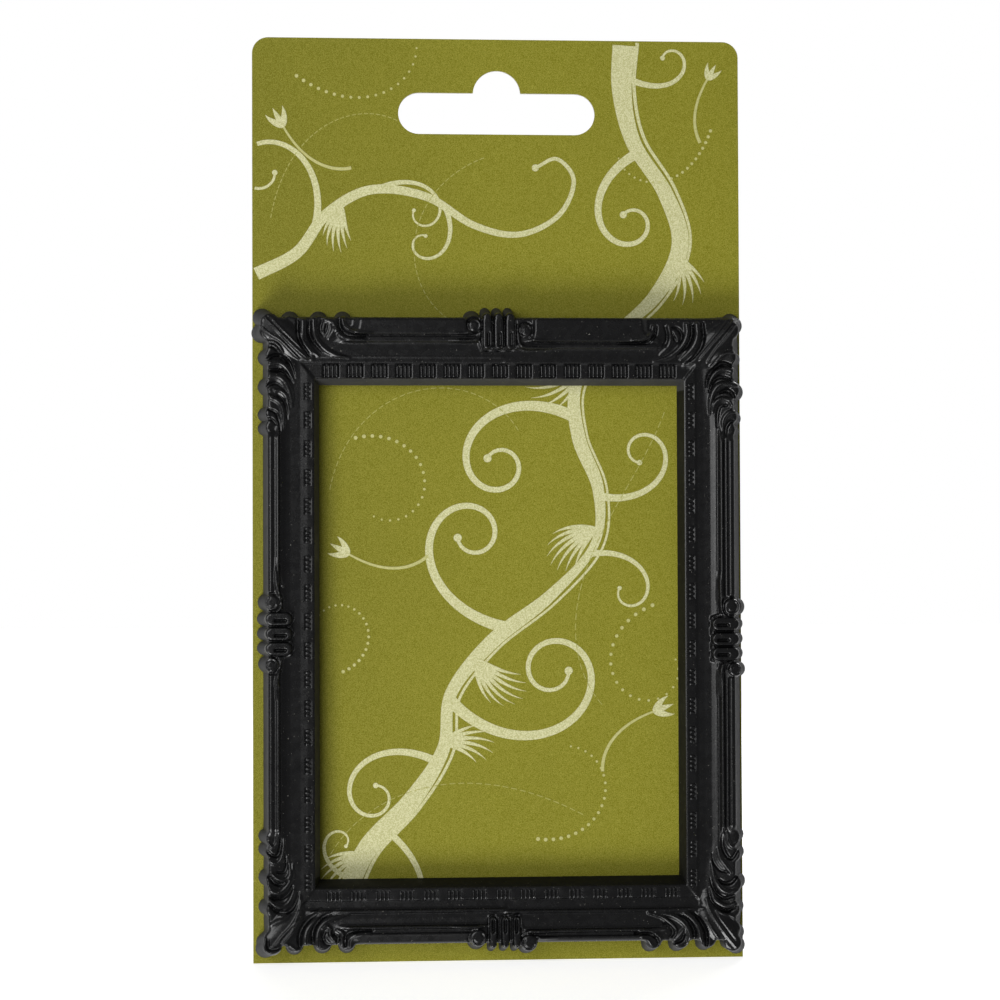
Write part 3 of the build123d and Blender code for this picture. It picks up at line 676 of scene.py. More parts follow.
def outline(x, y):
    """Distance outside the moulding's front outline with its lobes and bars, negative inside."""
    d = plain_outline(x, y)
    for lobe_x, lobe_y, radius in LOBES:
        d = smooth_min(d, np.hypot(x - lobe_x, y - lobe_y) - radius, LOBE_BLEND)
    for ax, ay, bx, by, half_width, _ in BARS:
        d = smooth_min(d, capsule_distance(x, y, (ax, ay), (bx, by), half_width), BAR_BLEND)
    return d


def section_height(table, u):
    """Height of a rail's section at a distance from the window."""
    return np.interp(u, *zip(*table))


def rail_height(x, y):
    """Height of the four plain mitred rails."""
    side_u = np.abs(x) - WINDOW_X
    end_u = np.abs(y) - WINDOW_Y
    side = np.where(x < 0, section_height(SIDE_LEFT, side_u), section_height(SIDE_RIGHT, side_u))
    right = smooth_step(*SECTION_CHANGE, x)
    top = between(section_height(TOP_LEFT, end_u), section_height(TOP_RIGHT, end_u), right)
    bottom = between(section_height(BOTTOM_LEFT, end_u), section_height(BOTTOM_RIGHT, end_u), right)
    mitre = smooth_step(-MITRE_BLEND, MITRE_BLEND, end_u * SIDE_RAIL / END_RAIL - side_u)
    return between(side, np.where(y > 0, top, bottom), mitre)


def smooth_path(points, per_run=8):
    """Points along a smooth curve through the given ones."""
    p = np.array(points, float)
    ends = np.vstack([2 * p[0] - p[1], p, 2 * p[-1] - p[-2]])
    t = np.linspace(0, 1, per_run, endpoint=False)[:, None]
    rows = []
    for a, b, c, d in zip(ends, ends[1:], ends[2:], ends[3:]):
        square = (2 * a - 5 * b + 4 * c - d) * t ** 2
        cube = (3 * b - a - 3 * c + d) * t ** 3
        rows.append(0.5 * (2 * b + (c - a) * t + square + cube))
    return np.vstack(rows + [p[-1:]])


def lengths_along(path):
    """The length of a path up to each of its points."""
    return np.concatenate([[0], np.cumsum(np.hypot(*np.diff(path, axis=0).T))])


def path_distance(x, y, path):
    """Distance to a path and the share of its length at the nearest point."""
    best = np.full(x.shape, FAR)
    share = np.zeros(x.shape)
    along = lengths_along(path)
    for a, b, start, end in zip(path, path[1:], along, along[1:]):
        d, t = to_segment(x, y, a, b)
        near = d < best
        best = np.where(near, d, best)
        share = np.where(near, between(start, end, t) / along[-1], share)
    return best, share


def stroke(height, x, y, points, half_width, rise, start, end, power=2):
    """Adds a ridge, or with a negative rise a groove, along a smooth curve. It narrows towards its ends."""
    path = smooth_path(points)
    low, high = path.min(0) - half_width, path.max(0) + half_width
    here = (x > low[0]) & (x < high[0]) & (y > low[1]) & (y < high[1])
    if not here.any():
        return
    d, t = path_distance(x[here], y[here], path)
    swelling = np.sin(np.pi * t)
    towards_end = end + (1 - end) * swelling
    width = half_width * np.where(t < 0.5, start + (1 - start) * swelling, towards_end)
    section = np.clip(1 - (d / width) ** power, 0, 1)
    height[here] += rise * section * np.where(t < 0.5, 1, towards_end)


def inside_polygon(x, y, corners):
    """Distance to a polygon's edge, positive inside it and negative outside."""
    inside = np.zeros(x.shape, bool)
    best = np.full(x.shape, FAR)
    for a, b in zip(corners, corners[1:] + corners[:1]):
        best = np.minimum(best, to_segment(x, y, a, b)[0])
        (ax, ay), (bx, by) = a, b
        if by != ay:
            inside ^= ((ay > y) != (by > y)) & (x < ax + (y - ay) / (by - ay) * (bx - ax))
    return np.where(inside, best, -best)


def pad(distance, top, edge):
    """Height of a flat pad with a rounded edge, inside its outline."""
    inward = np.clip(-distance, 0, edge)
    return top - edge + np.sqrt(np.clip(edge ** 2 - (edge - inward) ** 2, 0, None))


def ground_height(x, y):
    """Height of the corner grounds, which rise gently from the flat band outward."""
    u = np.maximum(np.abs(x) - WINDOW_X, np.abs(y) - WINDOW_Y)
    return np.interp(u, (GROUND_START, GROUND_END), (GROUND_LOW, GROUND_HEIGHT))


def mirrored(points, sign_x, sign_y):
    """Distances from the window's middle as places in one corner."""
    return [(sign_x * x, sign_y * y) for x, y in points]


def carve_knob(height, x, y, knob):
    """The face with a scroll knob: a round pad, a moat round it and a ring in it, open to one side."""
    knob_x, knob_y, radius, opening = knob
    d = np.hypot(x - knob_x, y - knob_y)
    turn = np.cos(np.arctan2(y - knob_y, x - knob_x) - math.radians(opening))
    moat = KNOB_MOAT_DEPTH * line_share(d - radius, *KNOB_MOAT) * (turn < KNOB_OPENING)
    ring = KNOB_RING_DEPTH * line_share(d, radius * KNOB_RING_SHARE, KNOB_RING_WIDTH)
    height = np.where(d < radius, pad(d - radius, KNOB_TOP, KNOB_EDGE), height)
    return height - moat - ring * smooth_step(*KNOB_RING_FADE, turn)


def carve_bar(height, x, y, bar):
    """The face with a bar of a centre ornament, a moat round it and a slot in it."""
    ax, ay, bx, by, half_width, slot_aside = bar
    d = capsule_distance(x, y, (ax, ay), (bx, by), half_width)
    height = np.where(d < 0, np.maximum(height, pad(d, BAR_TOP, BAR_EDGE)), height)
    height = height - BAR_MOAT_DEPTH * line_share(d, *BAR_MOAT)
    run = math.hypot(bx - ax, by - ay)
    along_x, along_y = (bx - ax) / run, (by - ay) / run
    if abs(along_x) > abs(along_y):
        inner, reach = (ax, ay + slot_aside), SLOT_LENGTH_SIDE
    else:
        inner, reach = (ax + slot_aside, ay), SLOT_LENGTH_END
    outer = (inner[0] + along_x * reach, inner[1] + along_y * reach)
    slot = capsule_distance(x, y, inner, outer, SLOT_HALF_WIDTH)
    return height - SLOT_DEPTH * smooth_step(*SLOT_EDGE, slot)


def carve(x, y):
    """Height of the moulding's face above its back."""
    height = rail_height(x, y)
    for sign_x, sign_y, ground, _ in CORNERS:
        mask = smooth_step(*CORNER_BLEND, inside_polygon(x, y, mirrored(ground, sign_x, sign_y)))
        height = between(height, ground_height(x, y), mask)
    for sign_x, sign_y, _, strokes in CORNERS:
        for points, *shape in strokes:
            stroke(height, x, y, mirrored(points, sign_x, sign_y), *shape)
    for level, ground in CENTRE_GROUNDS:
        height = between(height, level, smooth_step(*CENTRE_BLEND, inside_polygon(x, y, ground)))
    for points, *shape in CENTRE_STROKES:
        stroke(height, x, y, points, *shape)
    for knob in KNOBS:
        height = carve_knob(height, x, y, knob)
    for bar in BARS:
        height = carve_bar(height, x, y, bar)
    height -= flute_fields(x, y)
    inward = np.clip(-outline(x, y) / EDGE_ROUND_WIDTH, 0, 1)
    return height - EDGE_ROUND_DEPTH * (1 - np.sqrt(1 - (1 - inward) ** 2))


def group_places(row, margin):
    """The middles of a row's groups, and how far a group's sunk field reaches from its middle."""
    count, pitch, shift, flute_pitch, width = row
    reach = (FLUTES_PER_GROUP - 1) / 2 * flute_pitch + width / 2 + margin
    return [(i - (count - 1) / 2) * pitch + shift for i in range(count)], reach


def flute_fields(x, y):
    """Depth of the sunk fields of the flutes."""
    sunk = np.zeros(x.shape)
    for along, across, (low, high), row, depth, margin in (
            (x, y, TOP_FLUTE, TOP_ROW, TOP_FIELD_DEPTH, TOP_FIELD_MARGIN),
            (x, y, BOTTOM_FLUTE, BOTTOM_ROW, FIELD_DEPTH, FIELD_MARGIN),
            (y, -x, SIDE_FLUTE, SIDE_ROW, FIELD_DEPTH, FIELD_MARGIN),
            (y, x, SIDE_FLUTE, SIDE_ROW, FIELD_DEPTH, FIELD_MARGIN)):
        middles, reach = group_places(row, margin)
        aside = np.maximum(low - FIELD_MARGIN - across, across - high - margin)
        for middle in middles:
            distance = np.maximum(np.abs(along - middle) - reach, aside)
            sunk = np.maximum(sunk, depth * smooth_step(FIELD_EDGE, -FIELD_EDGE, distance))
    return sunk


def field_lines(row, margin):
    """Places along an axis where the sunk fields' edges need a grid line."""
    middles, reach = group_places(row, margin)
    edges = (reach - FIELD_EDGE - LINE_ASIDE, reach - FIELD_EDGE,
             reach + FIELD_EDGE, reach + FIELD_EDGE + LINE_ASIDE)
    return [middle + side * edge for middle in middles for side in (-1, 1) for edge in edges]


def grid_lines(places, fluted_lines):
    """Places of the grid's lines along an axis: fine steps, but in the fluted runs the given lines."""
    lines = [places[0]]
    for run, end in enumerate(places[1:]):
        start = lines[-1]
        if run in FLUTED_RUNS:
            for place in sorted(fluted_lines):
                if lines[-1] + LINE_GAP < place < end - LINE_GAP:
                    lines.append(place)
            lines.append(end)
        else:
            count = max(1, round((end - start) / FINE_STEP))
            lines += [start + (end - start) * (i + 1) / count for i in range(count)]
    return np.array(lines)


def cell_corners(row, column):
    """The corners of a grid cell in turn."""
    return [(row, column), (row, column + 1), (row + 1, column + 1), (row + 1, column)]


def cell_sides(row, column):
    """The sides of a grid cell: the neighbour cell beyond each, and its two corners in turn."""
    a, b, c, d = cell_corners(row, column)
    return (b, b, c), (d, c, d), ((row, column - 1), d, a), ((row - 1, column), a, b)


def moulding_face():
    """Vertices and faces of the carved face, clipped to the outline, and its outer and inner border edges."""
    xs = grid_lines(GRID_X, field_lines(TOP_ROW, TOP_FIELD_MARGIN) + field_lines(BOTTOM_ROW, FIELD_MARGIN))
    ys = grid_lines(GRID_Y, field_lines(SIDE_ROW, FIELD_MARGIN))
    x, y = np.meshgrid(xs, ys)
    distance = outline(x, y)
    inside = distance < 0
    in_window = (np.abs(x) < LIP_X - TINY) & (y > LIP_LOW + TINY) & (y < LIP_HIGH - TINY)
    keep = inside & ~in_window
    kept_count = keep.sum()
    index = np.full(x.shape, -1)
    index[keep] = np.arange(kept_count)
    verts = np.column_stack([x[keep], y[keep], carve(x, y)[keep]]).tolist()
    middle_x = (xs[None, :-1] + xs[None, 1:]) / 2
    middle_y = (ys[:-1, None] + ys[1:, None]) / 2
    hole = (np.abs(middle_x) < LIP_X) & (middle_y > LIP_LOW) & (middle_y < LIP_HIGH)
    inside_count = inside[:-1, :-1].astype(int) + inside[1:, :-1] + inside[:-1, 1:] + inside[1:, 1:]
    whole = (inside_count == 4) & ~hole
    faces = np.column_stack([index[corner] for corner in cell_corners(*np.nonzero(whole))]).tolist()
    crossings = {}
    outer, inner = [], []

    def crossing(a, b):
        """The vertex where a grid line from a to b crosses the outline."""
        key = (min(a, b), max(a, b))
        if key not in crossings:
            t = distance[a] / (distance[a] - distance[b])
            crossings[key] = len(verts)
            verts.append([x[a] + (x[b] - x[a]) * t, y[a] + (y[b] - y[a]) * t, 0.0])
        return crossings[key]

    for cell in zip(*np.nonzero((inside_count > 0) & (inside_count < 4) & ~hole)):
        ring = cell_corners(*cell)
        polygon, cut = [], []
        for a, b in zip(ring, ring[1:] + ring[:1]):
            if inside[a]:
                polygon.append(int(index[a]))
            if inside[a] != inside[b]:
                polygon.append(crossing(a, b))
                cut.append((polygon[-1], inside[a]))
        if len(polygon) > 2:
            faces.append(polygon)
        if len(cut) == 2:
            (v, leaves), (w, _) = cut
            outer.append((v, w) if leaves else (w, v))
    for cell in zip(*np.nonzero(whole)):
        for neighbour, a, b in cell_sides(*cell):
            if hole[neighbour]:
                inner.append((int(index[a]), int(index[b])))
    verts = np.array(verts)
    verts[kept_count:, 2] = carve(verts[kept_count:, 0], verts[kept_count:, 1])
    return verts, faces, outer, inner


def past_turn(v, low, high):
    """How far places lie past where the outline starts to turn, with their sign."""
    return np.maximum(np.maximum(low + TURN_RADIUS - v, v - high + TURN_RADIUS), 0) * np.sign(v)


def outward(points):
    """Directions out of the plain outline at places in plan, turning evenly round its corners."""
    x, y = points.T
    out = np.column_stack([past_turn(x, EDGE_LEFT, EDGE_RIGHT), past_turn(y, EDGE_BOTTOM, EDGE_TOP)])
    return out / np.linalg.norm(out, axis=1)[:, None]


def wall_draft(points):
    """How far the outer wall's foot stands out of its top edge at places in plan."""
    out = outward(points)
    side = np.where(out[:, 0] < 0, LEFT_DRAFT, RIGHT_DRAFT)
    end = np.where(out[:, 1] < 0, BOTTOM_DRAFT, TOP_DRAFT)
    reach = side * out[:, 0] ** 2 + end * out[:, 1] ** 2 - plain_outline(*points.T)
    for x, y, radius in LOBES + [bar[2:5] for bar in BARS]:
        if x < EDGE_LEFT + TURN_RADIUS / 2:
            x -= LEFT_LOBE_DRAFT
        elif x > EDGE_RIGHT - TURN_RADIUS / 2:
            x += RIGHT_LOBE_DRAFT
        if y > EDGE_TOP - TURN_RADIUS / 2:
            y += TOP_LOBE_DRAFT
        elif y < EDGE_BOTTOM + TURN_RADIUS / 2:
            y -= BOTTOM_LOBE_DRAFT
        to = np.array([x, y]) - points
        ahead = (to * out).sum(axis=1)
        aside = (to ** 2).sum(axis=1) - ahead ** 2
        hit = ahead + np.sqrt(np.clip(radius ** 2 - aside, 0, None))
        reach = -smooth_min(-reach, -np.where(aside < radius ** 2, hit, 0), FOOT_BLEND)
    return np.maximum(reach, LEAST_DRAFT)


def wall_finish(corners):
    """The finish of a wall face: a painted lit copy of the plastic outside and on the window's top and left,
    where light falls, and a painted shaded copy elsewhere.
    """
    x, y = (sum(corner[axis] for corner in corners) / len(corners) for axis in (0, 1))
    in_window = abs(x) < WINDOW_X + LIP_TOP and abs(y) < WINDOW_Y + LIP_TOP
    above = y > WINDOW_Y - LIP_BOTTOM
    beside = x < LIP_SIDE - WINDOW_X and y > LIP_BOTTOM - WINDOW_Y
    finish = "painted_lit_wall" if not in_window or above or beside else "painted_shaded_wall"
    return list(MOULDING_FINISHES).index(finish)


def border_of(edges):
    """The vertices of border edges, in order of their numbers."""
    return sorted({v for edge in edges for v in edge})


def add_walls(verts, faces, edges, offsets, bottom, levels):
    """Walls down from border edges to the bottom level. offsets says how far their feet stand out."""
    border = border_of(edges)
    rank = {v: i for i, v in enumerate(border)}
    top = verts[border]
    rows, blocks = [border], [verts]
    for share in levels:
        count = len(verts) + len(border) * (len(rows) - 1)
        rows.append(range(count, count + len(border)))
        blocks.append(np.column_stack([top[:, :2] + offsets * share, between(top[:, 2], bottom, share)]))
    for upper, lower in zip(rows, rows[1:]):
        for a, b in edges:
            i, j = rank[a], rank[b]
            faces.append([upper[j], upper[i], lower[i], lower[j]])
    return np.vstack(blocks), [(rows[-1][rank[a]], rows[-1][rank[b]]) for a, b in edges]


def magnet_channel(name):
    """Plan box and depth, from the moulding's back, of the channel for a magnet strip and its tape."""
    low, high = flat_box("magnet_strip_" + name)
    tape_high = flat_box("magnet_tape_" + name)[1]
    return (*(low[:2] - CHANNEL_GAP), *(high[:2] + CHANNEL_GAP), tape_high[2] - BACK)


def chain(edges):
    """The vertices of a loop of directed edges, in order."""
    after = dict(edges)
    loop = [edges[0][0]]
    while after[loop[-1]] != loop[0]:
        loop.append(after[loop[-1]])
    return loop


def loop_sides(loop):
    """A loop round the moulding, turned anticlockwise and split at its four corners."""
    flat = [lay_flat(v.co) for v in loop]
    if sum(a[0] * b[1] - b[0] * a[1] for a, b in zip(flat, flat[1:] + flat[:1])) < 0:
        loop, flat = loop[::-1], flat[::-1]
    corners = [max(range(len(loop)), key=lambda i: sign_x * flat[i][0] + sign_y * flat[i][1])
               for sign_x, sign_y in ((-1, -1), (1, -1), (1, 1), (-1, 1))]
    sides = []
    for start, end in zip(corners, corners[1:] + corners[:1]):
        stop = end if end > start else end + len(loop)
        sides.append([loop[i % len(loop)] for i in range(start, stop + 1)])
    return sides


def between_rings(bm, outer, inner):
    """Four flat faces between an outer and an inner loop."""
    for far, near in zip(loop_sides(outer), loop_sides(inner)):
        bm.faces.new(far + near[::-1])


def add_back(bm, outer_foot, inner_foot):
    """The flat back between the feet of the outer and the window walls, with its rebate and channels."""
    rebate_x, rebate_y = WINDOW_X + REBATE_WIDTH, WINDOW_Y + REBATE_WIDTH
    hollows = [(-rebate_x, -rebate_y, rebate_x, rebate_y, REBATE_DEPTH)]
    hollows += [magnet_channel(name) for name in MAGNETS]
    boxes = hollows + [(-LAND_X, LAND_BOTTOM, LAND_X, LAND_TOP)]
    xs, ys = (sorted({round(float(box[i]), PLAN_DIGITS) for box in boxes for i in (axis, axis + 2)})
              for axis in (0, 1))
    made = {}

    def corner(place, level):
        """The vertex at a corner of the plan's cells and at a level."""
        if (place, level) not in made:
            row, column = place
            made[place, level] = bm.verts.new(stand_up(xs[column], ys[row], level + BACK))
        return made[place, level]

    def level_at(row, column):
        """How deep the back lies in a cell of the plan, or None outside the land."""
        if not (0 <= row < len(ys) - 1 and 0 <= column < len(xs) - 1):
            return None
        x = (xs[column] + xs[column + 1]) / 2
        y = (ys[row] + ys[row + 1]) / 2
        for low_x, low_y, high_x, high_y, depth in hollows:
            if low_x < x < high_x and low_y < y < high_y:
                return depth
        return 0.0

    rebate_edges, land_edges = {}, {}
    for cell in ((row, column) for column in range(len(xs) - 1) for row in range(len(ys) - 1)):
        level = level_at(*cell)
        if level != REBATE_DEPTH:
            bm.faces.new([corner(place, level) for place in cell_corners(*cell)])
        for neighbour, a, b in cell_sides(*cell):
            other = level_at(*neighbour)
            if other is None:
                land_edges[corner(a, level)] = corner(b, level)
            elif other < level:
                bm.faces.new([corner(a, level), corner(b, level), corner(b, other), corner(a, other)])
                if level == REBATE_DEPTH:
                    rebate_edges[corner(a, level)] = corner(b, level)
    between_rings(bm, outer_foot, chain(list(land_edges.items())))
    between_rings(bm, chain(list(rebate_edges.items())), inner_foot)


def carved_moulding():
    """The whole moulding as one closed mesh: the carved face, the walls and the back."""
    verts, faces, outer, inner = moulding_face()
    carved_count = len(faces)
    rim = verts[border_of(outer)][:, :2]
    lip = verts[border_of(inner)][:, :2]
    spread = outward(rim) * wall_draft(rim)[:, None]
    verts, outer_foot = add_walls(verts, faces, outer, spread, 0.0, WALL_SHARES)
    spread = np.clip(lip, WINDOW_FOOT_LOW, WINDOW_FOOT_HIGH) - lip
    verts, inner_foot = add_walls(verts, faces, inner, spread, REBATE_DEPTH, WINDOW_WALL_SHARES)

    bm = bmesh.new()
    made = [bm.verts.new(stand_up(x, y, z + BACK)) for x, y, z in verts]
    for i, corners in enumerate(faces):
        face = bm.faces.new([made[v] for v in corners])
        face.smooth = True
        if i >= carved_count:
            face.material_index = wall_finish([verts[v] for v in corners])
    add_back(bm, [made[v] for v in chain(outer_foot)], [made[v] for v in chain(inner_foot)])
    bmesh.ops.recalc_face_normals(bm, faces=bm.faces)
    for edge in bm.edges:
        carved = all(face.material_index == 0 and face.smooth for face in edge.link_faces)
        if not carved and edge.calc_face_angle(0) > SHARP_ANGLE:
            edge.smooth = False
    mesh = bpy.data.meshes.new("carved_moulding")
    bm.to_mesh(mesh)
    bm.free()
    return mesh


def flute_middles(row):
    """The middles of all the flutes of a row."""
    middles, _ = group_places(row, FIELD_MARGIN)
    shifts = [(i - (FLUTES_PER_GROUP - 1) / 2) * row[3] for i in range(FLUTES_PER_GROUP)]
    return [middle + shift for middle in middles for shift in shifts]


def flute_places():
    """Low end and high end, laid flat, width, end rounds, fall of the top and height of every flute."""
    for row, (low, high), fall, rise in (
            (TOP_ROW, TOP_FLUTE, TOP_FALL_SHARE, TOP_FIELD_DEPTH + TOP_FLUTE_PROUD),
            (BOTTOM_ROW, BOTTOM_FLUTE, BOTTOM_FALL_SHARE, FIELD_DEPTH + FLUTE_PROUD)):
        for x in flute_middles(row):
            yield (x, low), (x, high), row[-1], END_ROUNDS, fall, rise
    for y in flute_middles(SIDE_ROW):
        for side in (-1, 1):
            ends = [(side * x, y) for x in SIDE_FLUTE]
            yield *ends, SIDE_ROW[-1], SIDE_ROUNDS, 0.0, FIELD_DEPTH + FLUTE_PROUD


def rounded(share):
    """Height of a quarter round at a share of its run."""
    return math.sqrt(1 - (1 - min(share, 1)) ** 2)


def squared(value):
    """A sine or cosine of a flute's cross-section, drawn out towards a square."""
    return math.copysign(abs(value) ** FLUTE_SQUARING, value)


def flutes():
    """All the flutes as one mesh of closed bars with round tops and ends, half sunk in the moulding."""
    verts, faces = [], []
    places = list(flute_places())
    middles = np.array([((a[0] + b[0]) / 2, (a[1] + b[1]) / 2) for a, b, *_ in places])
    floors = carve(middles[:, 0], middles[:, 1])
    for ((ax, ay), (bx, by), width, rounds, fall, height), floor in zip(places, floors):
        length = math.hypot(bx - ax, by - ay)
        dx, dy = (bx - ax) / length, (by - ay) / length
        blunt = width / 2
        start = len(verts)
        for ring in range(FLUTE_RINGS):
            share = (1 - math.cos(math.pi * (ring + 0.5) / FLUTE_RINGS)) / 2
            run = share * length
            tall = rounded(run / rounds[0]) * rounded((length - run) / rounds[1]) * (1 - fall * share)
            half = blunt * rounded(min(run, length - run) / blunt)
            for point in range(FLUTE_POINTS):
                angle = 2 * math.pi * point / FLUTE_POINTS
                side = half * squared(math.cos(angle))
                lift = (height + FLUTE_SINK) * tall * squared(math.sin(angle))
                x, y = ax + dx * run - dy * side, ay + dy * run + dx * side
                verts.append(stand_up(x, y, BACK + floor - FLUTE_SINK + lift))
        for ring in range(start, start + (FLUTE_RINGS - 1) * FLUTE_POINTS, FLUTE_POINTS):
            for point in range(FLUTE_POINTS):
                a, b = ring + point, ring + (point + 1) % FLUTE_POINTS
                faces.append((a, b, b + FLUTE_POINTS, a + FLUTE_POINTS))
        faces.append(tuple(range(start, start + FLUTE_POINTS))[::-1])
        faces.append(tuple(range(len(verts) - FLUTE_POINTS, len(verts))))
    mesh = bpy.data.meshes.new("moulding_flutes")
    mesh.from_pydata(verts, [], faces)
    mesh.shade_smooth()
    return mesh


def add_object(name, data):
    """A new object in the scene."""
    obj = bpy.data.objects.new(name, data)
    bpy.context.scene.collection.objects.link(obj)
    return obj


def add_piece(name, mesh, body, material):
    """An object for a mesh, which rides on a body and wears the given material."""
    obj = add_object(name, mesh)
    mesh.materials.append(material)
    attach(obj, body)
    return obj


def off_card(x, y):
    """Distance outside the printable part of the card's face, negative on it."""
    dx = np.abs(x) - card_high[0] + CARD_CORNER
    lower, upper = card_low[1] - y, y - card_high[1] + CARD_CORNER
    rounding = np.hypot(np.maximum(dx, 0), np.maximum(upper, 0))
    board = rounding - CARD_CORNER + np.minimum(np.maximum(dx, upper), 0)
    run = HOOK_HALF_LENGTH - HOOK_HALF_HEIGHT
    hook = HOOK_HALF_HEIGHT - np.hypot(np.maximum(np.abs(x) - run, 0), y - card_high[1] + HOOK_DROP)
    bump = BUMP_RADIUS - np.hypot(x, y - card_high[1] + BUMP_DROP)
    return np.maximum.reduce([board, lower, hook, bump]) + INK_MARGIN


def left_of(path):
    """Directions to the left of a path at each of its points."""
    tangent = np.gradient(path, axis=0)
    tangent /= np.linalg.norm(tangent, axis=1)[:, None]
    return np.column_stack([-tangent[:, 1], tangent[:, 0]])


class Ink:
    """Flat shapes that are printed on the card's face in one tint, as low closed prisms."""

    def __init__(self):
        self.verts, self.faces = [], []
        self.lift = INK_LIFT

    def strip(self, left, right):
        """A strip between two rows of points. Each lies a little above the one before, so none coincide."""
        count = len(left)
        a, b, c, d = (len(self.verts) + i * count for i in range(4))
        self.lift += INK_STEP
        for z in (CARD_FRONT + self.lift, CARD_FRONT - INK_SINK):
            for row in (left, right):
                self.verts += [stand_up(x, y, z) for x, y in row]
        for i in range(count - 1):
            j = i + 1
            self.faces += [(a + i, b + i, b + j, a + j), (c + j, d + j, d + i, c + i),
                           (a + j, c + j, c + i, a + i), (b + i, d + i, d + j, b + j)]
        e = count - 1
        self.faces += [(a, c, d, b), (b + e, d + e, c + e, a + e)]

    def ribbon(self, path, width):
        """A strip along a path. width gives its width at a share of the path's length."""
        path = np.array(path)
        along = lengths_along(path)
        half = np.array([max(width(s / along[-1]), LEAST_WIDTH) / 2 for s in along])[:, None]
        left, right = path + left_of(path) * half, path - left_of(path) * half
        free = (off_card(*left.T) < 0) & (off_card(*right.T) < 0)
        start = 0
        for i in range(len(path) + 1):
            if i == len(path) or not free[i]:
                if i - start > 1:
                    self.strip(left[start:i].tolist(), right[start:i].tolist())
                start = i + 1

    def dot(self, x, y, radius):
        """A round dot, as two rows of points that nearly meet at its ends."""
        if off_card(x, y) > -radius:
            return
        angles = np.linspace(0, math.pi, DOT_POINTS)
        rows = [[(x - radius * math.cos(t), y + side * (radius * math.sin(t) + DOT_SEAM)) for t in angles]
                for side in (1, -1)]
        self.strip(*rows)

    def mesh(self, name):
        """The shapes as a mesh."""
        mesh = bpy.data.meshes.new(name)
        mesh.from_pydata(self.verts, [], self.faces)
        mesh.validate()
        return mesh


def curl(x, y, heading, length, first_bend, last_bend, power=2.0, steps=60):
    """A path whose bend, in degrees per mm, goes from the first value to the last."""
    path = [(x, y)]
    angle = math.radians(heading)
    step = length / steps
    for i in range(steps):
        share = ((i + 0.5) / steps) ** power
        angle += math.radians(first_bend + (last_bend - first_bend) * share) * step
        x += step * math.cos(angle)
        y += step * math.sin(angle)
        path.append((x, y))
    return path


def taper(start, end, power=1.0):
    """A width that goes from the start value to the end value."""
    return lambda s: start + (end - start) * s ** power


def swell(width):
    """A width that is thickest a third of the way along and thin at both ends."""
    return lambda s: width * math.sin(math.pi * min(1.0, s ** SWELL_PLACE)) ** SWELL_ROUNDING


def waisted(width, waist, wave=0.0):
    """A width that is least at the middle, with a slight wave along it."""
    return lambda s: width - waist * math.sin(math.pi * s) + wave * math.cos(STEM_WAVES * math.pi * s)


def beside(path, near_ends, at_middle):
    """A line that runs beside a path, at a distance that is smaller at the path's middle."""
    share = np.linspace(0, 1, len(path))[:, None]
    line = path + left_of(path) * (near_ends + (at_middle - near_ends) * np.sin(np.pi * share))
    return line[(line[:, 1] < card_high[1] - INK_MARGIN) & (line[:, 1] > card_low[1] + INK_MARGIN)]


def print_stems(vine):
    """The vine's two stems, the first with a thin line beside it, and the curls that leave them."""
    stem = smooth_path(STEM, per_run=14)
    vine.ribbon(stem, waisted(STEM_WIDTH, STEM_WAIST, STEM_WAVE))
    vine.ribbon(beside(stem, *SECOND_LINE_GAPS), waisted(SECOND_LINE_WIDTH, SECOND_LINE_WAIST))
    side_stem = smooth_path(SIDE_STEM, per_run=12)
    vine.ribbon(side_stem, taper(*SIDE_STEM_WIDTHS, power=0.9))
    vine.dot(*side_stem[-1], SIDE_STEM_DOT)
    for *shape, width in CURLS:
        path = curl(*shape)
        vine.ribbon(path, taper(*(width * share for share in CURL_SHARES), power=0.8))
        vine.dot(*path[-1], width * CURL_DOT_SHARE)


def print_sprays(vine):
    """Sprays of fine blades on the stems, longest at the middle of a spray."""
    for x, y, heading, spread, count, length, bend in SPRAYS:
        for i in range(count):
            share = i / (count - 1)
            rise = math.sin(math.pi * (BLADE_PHASE[0] + BLADE_PHASE[1] * share))
            reach = length * (BLADE_SHARES[0] + BLADE_SHARES[1] * rise)
            bends = (bend * BLADE_BENDS[0], bend * (BLADE_BENDS[1] - share))
            blade = curl(x, y, heading + spread * (share - 0.5), reach, *bends, power=1.0, steps=20)
            vine.ribbon(blade, swell(BLADE_WIDTH))


def print_arcs(fine, faint):
    """Dotted arcs whose dots get smaller, and fine dashed arcs."""
    for *shape, radius in DOTTED:
        for i, place in enumerate(curl(*shape, power=1.0, steps=40)[::2]):
            fine.dot(*place, radius * (1.0 - DOT_FADE * i))
    for shape in FINE_ARCS:
        path = curl(*shape, power=1.0, steps=96)
        for i in range(0, len(path) - 2, DASH_STEPS):
            faint.ribbon(path[i:i + DASH_STEPS], taper(FINE_ARC_WIDTH, FINE_ARC_WIDTH))


def print_buds(vine, fine):
    """Buds of three petals, each on a thin shoot."""
    for x, y, heading, size in BUDS:
        shoot = curl(x, y, heading + 180, SHOOT_LENGTH * size, *SHOOT_BENDS, power=1.0, steps=30)
        fine.ribbon(shoot, taper(*SHOOT_WIDTHS))
        for side in (-1, 0, 1):
            turn = heading + PETAL_SPREAD * side
            bends = (bend * side for bend in PETAL_BENDS)
            petal = curl(x, y, turn, PETAL_LENGTH * size, *bends, power=1.0, steps=14)
            vine.ribbon(petal, swell(PETAL_WIDTH * size))


def printed_vine():
    """The print's three tints: the vine, its paler fine lines and the faint lines behind it."""
    vine, fine, faint = Ink(), Ink(), Ink()
    print_stems(vine)
    print_sprays(vine)
    print_arcs(fine, faint)
    print_buds(vine, fine)
    return vine, fine, faint


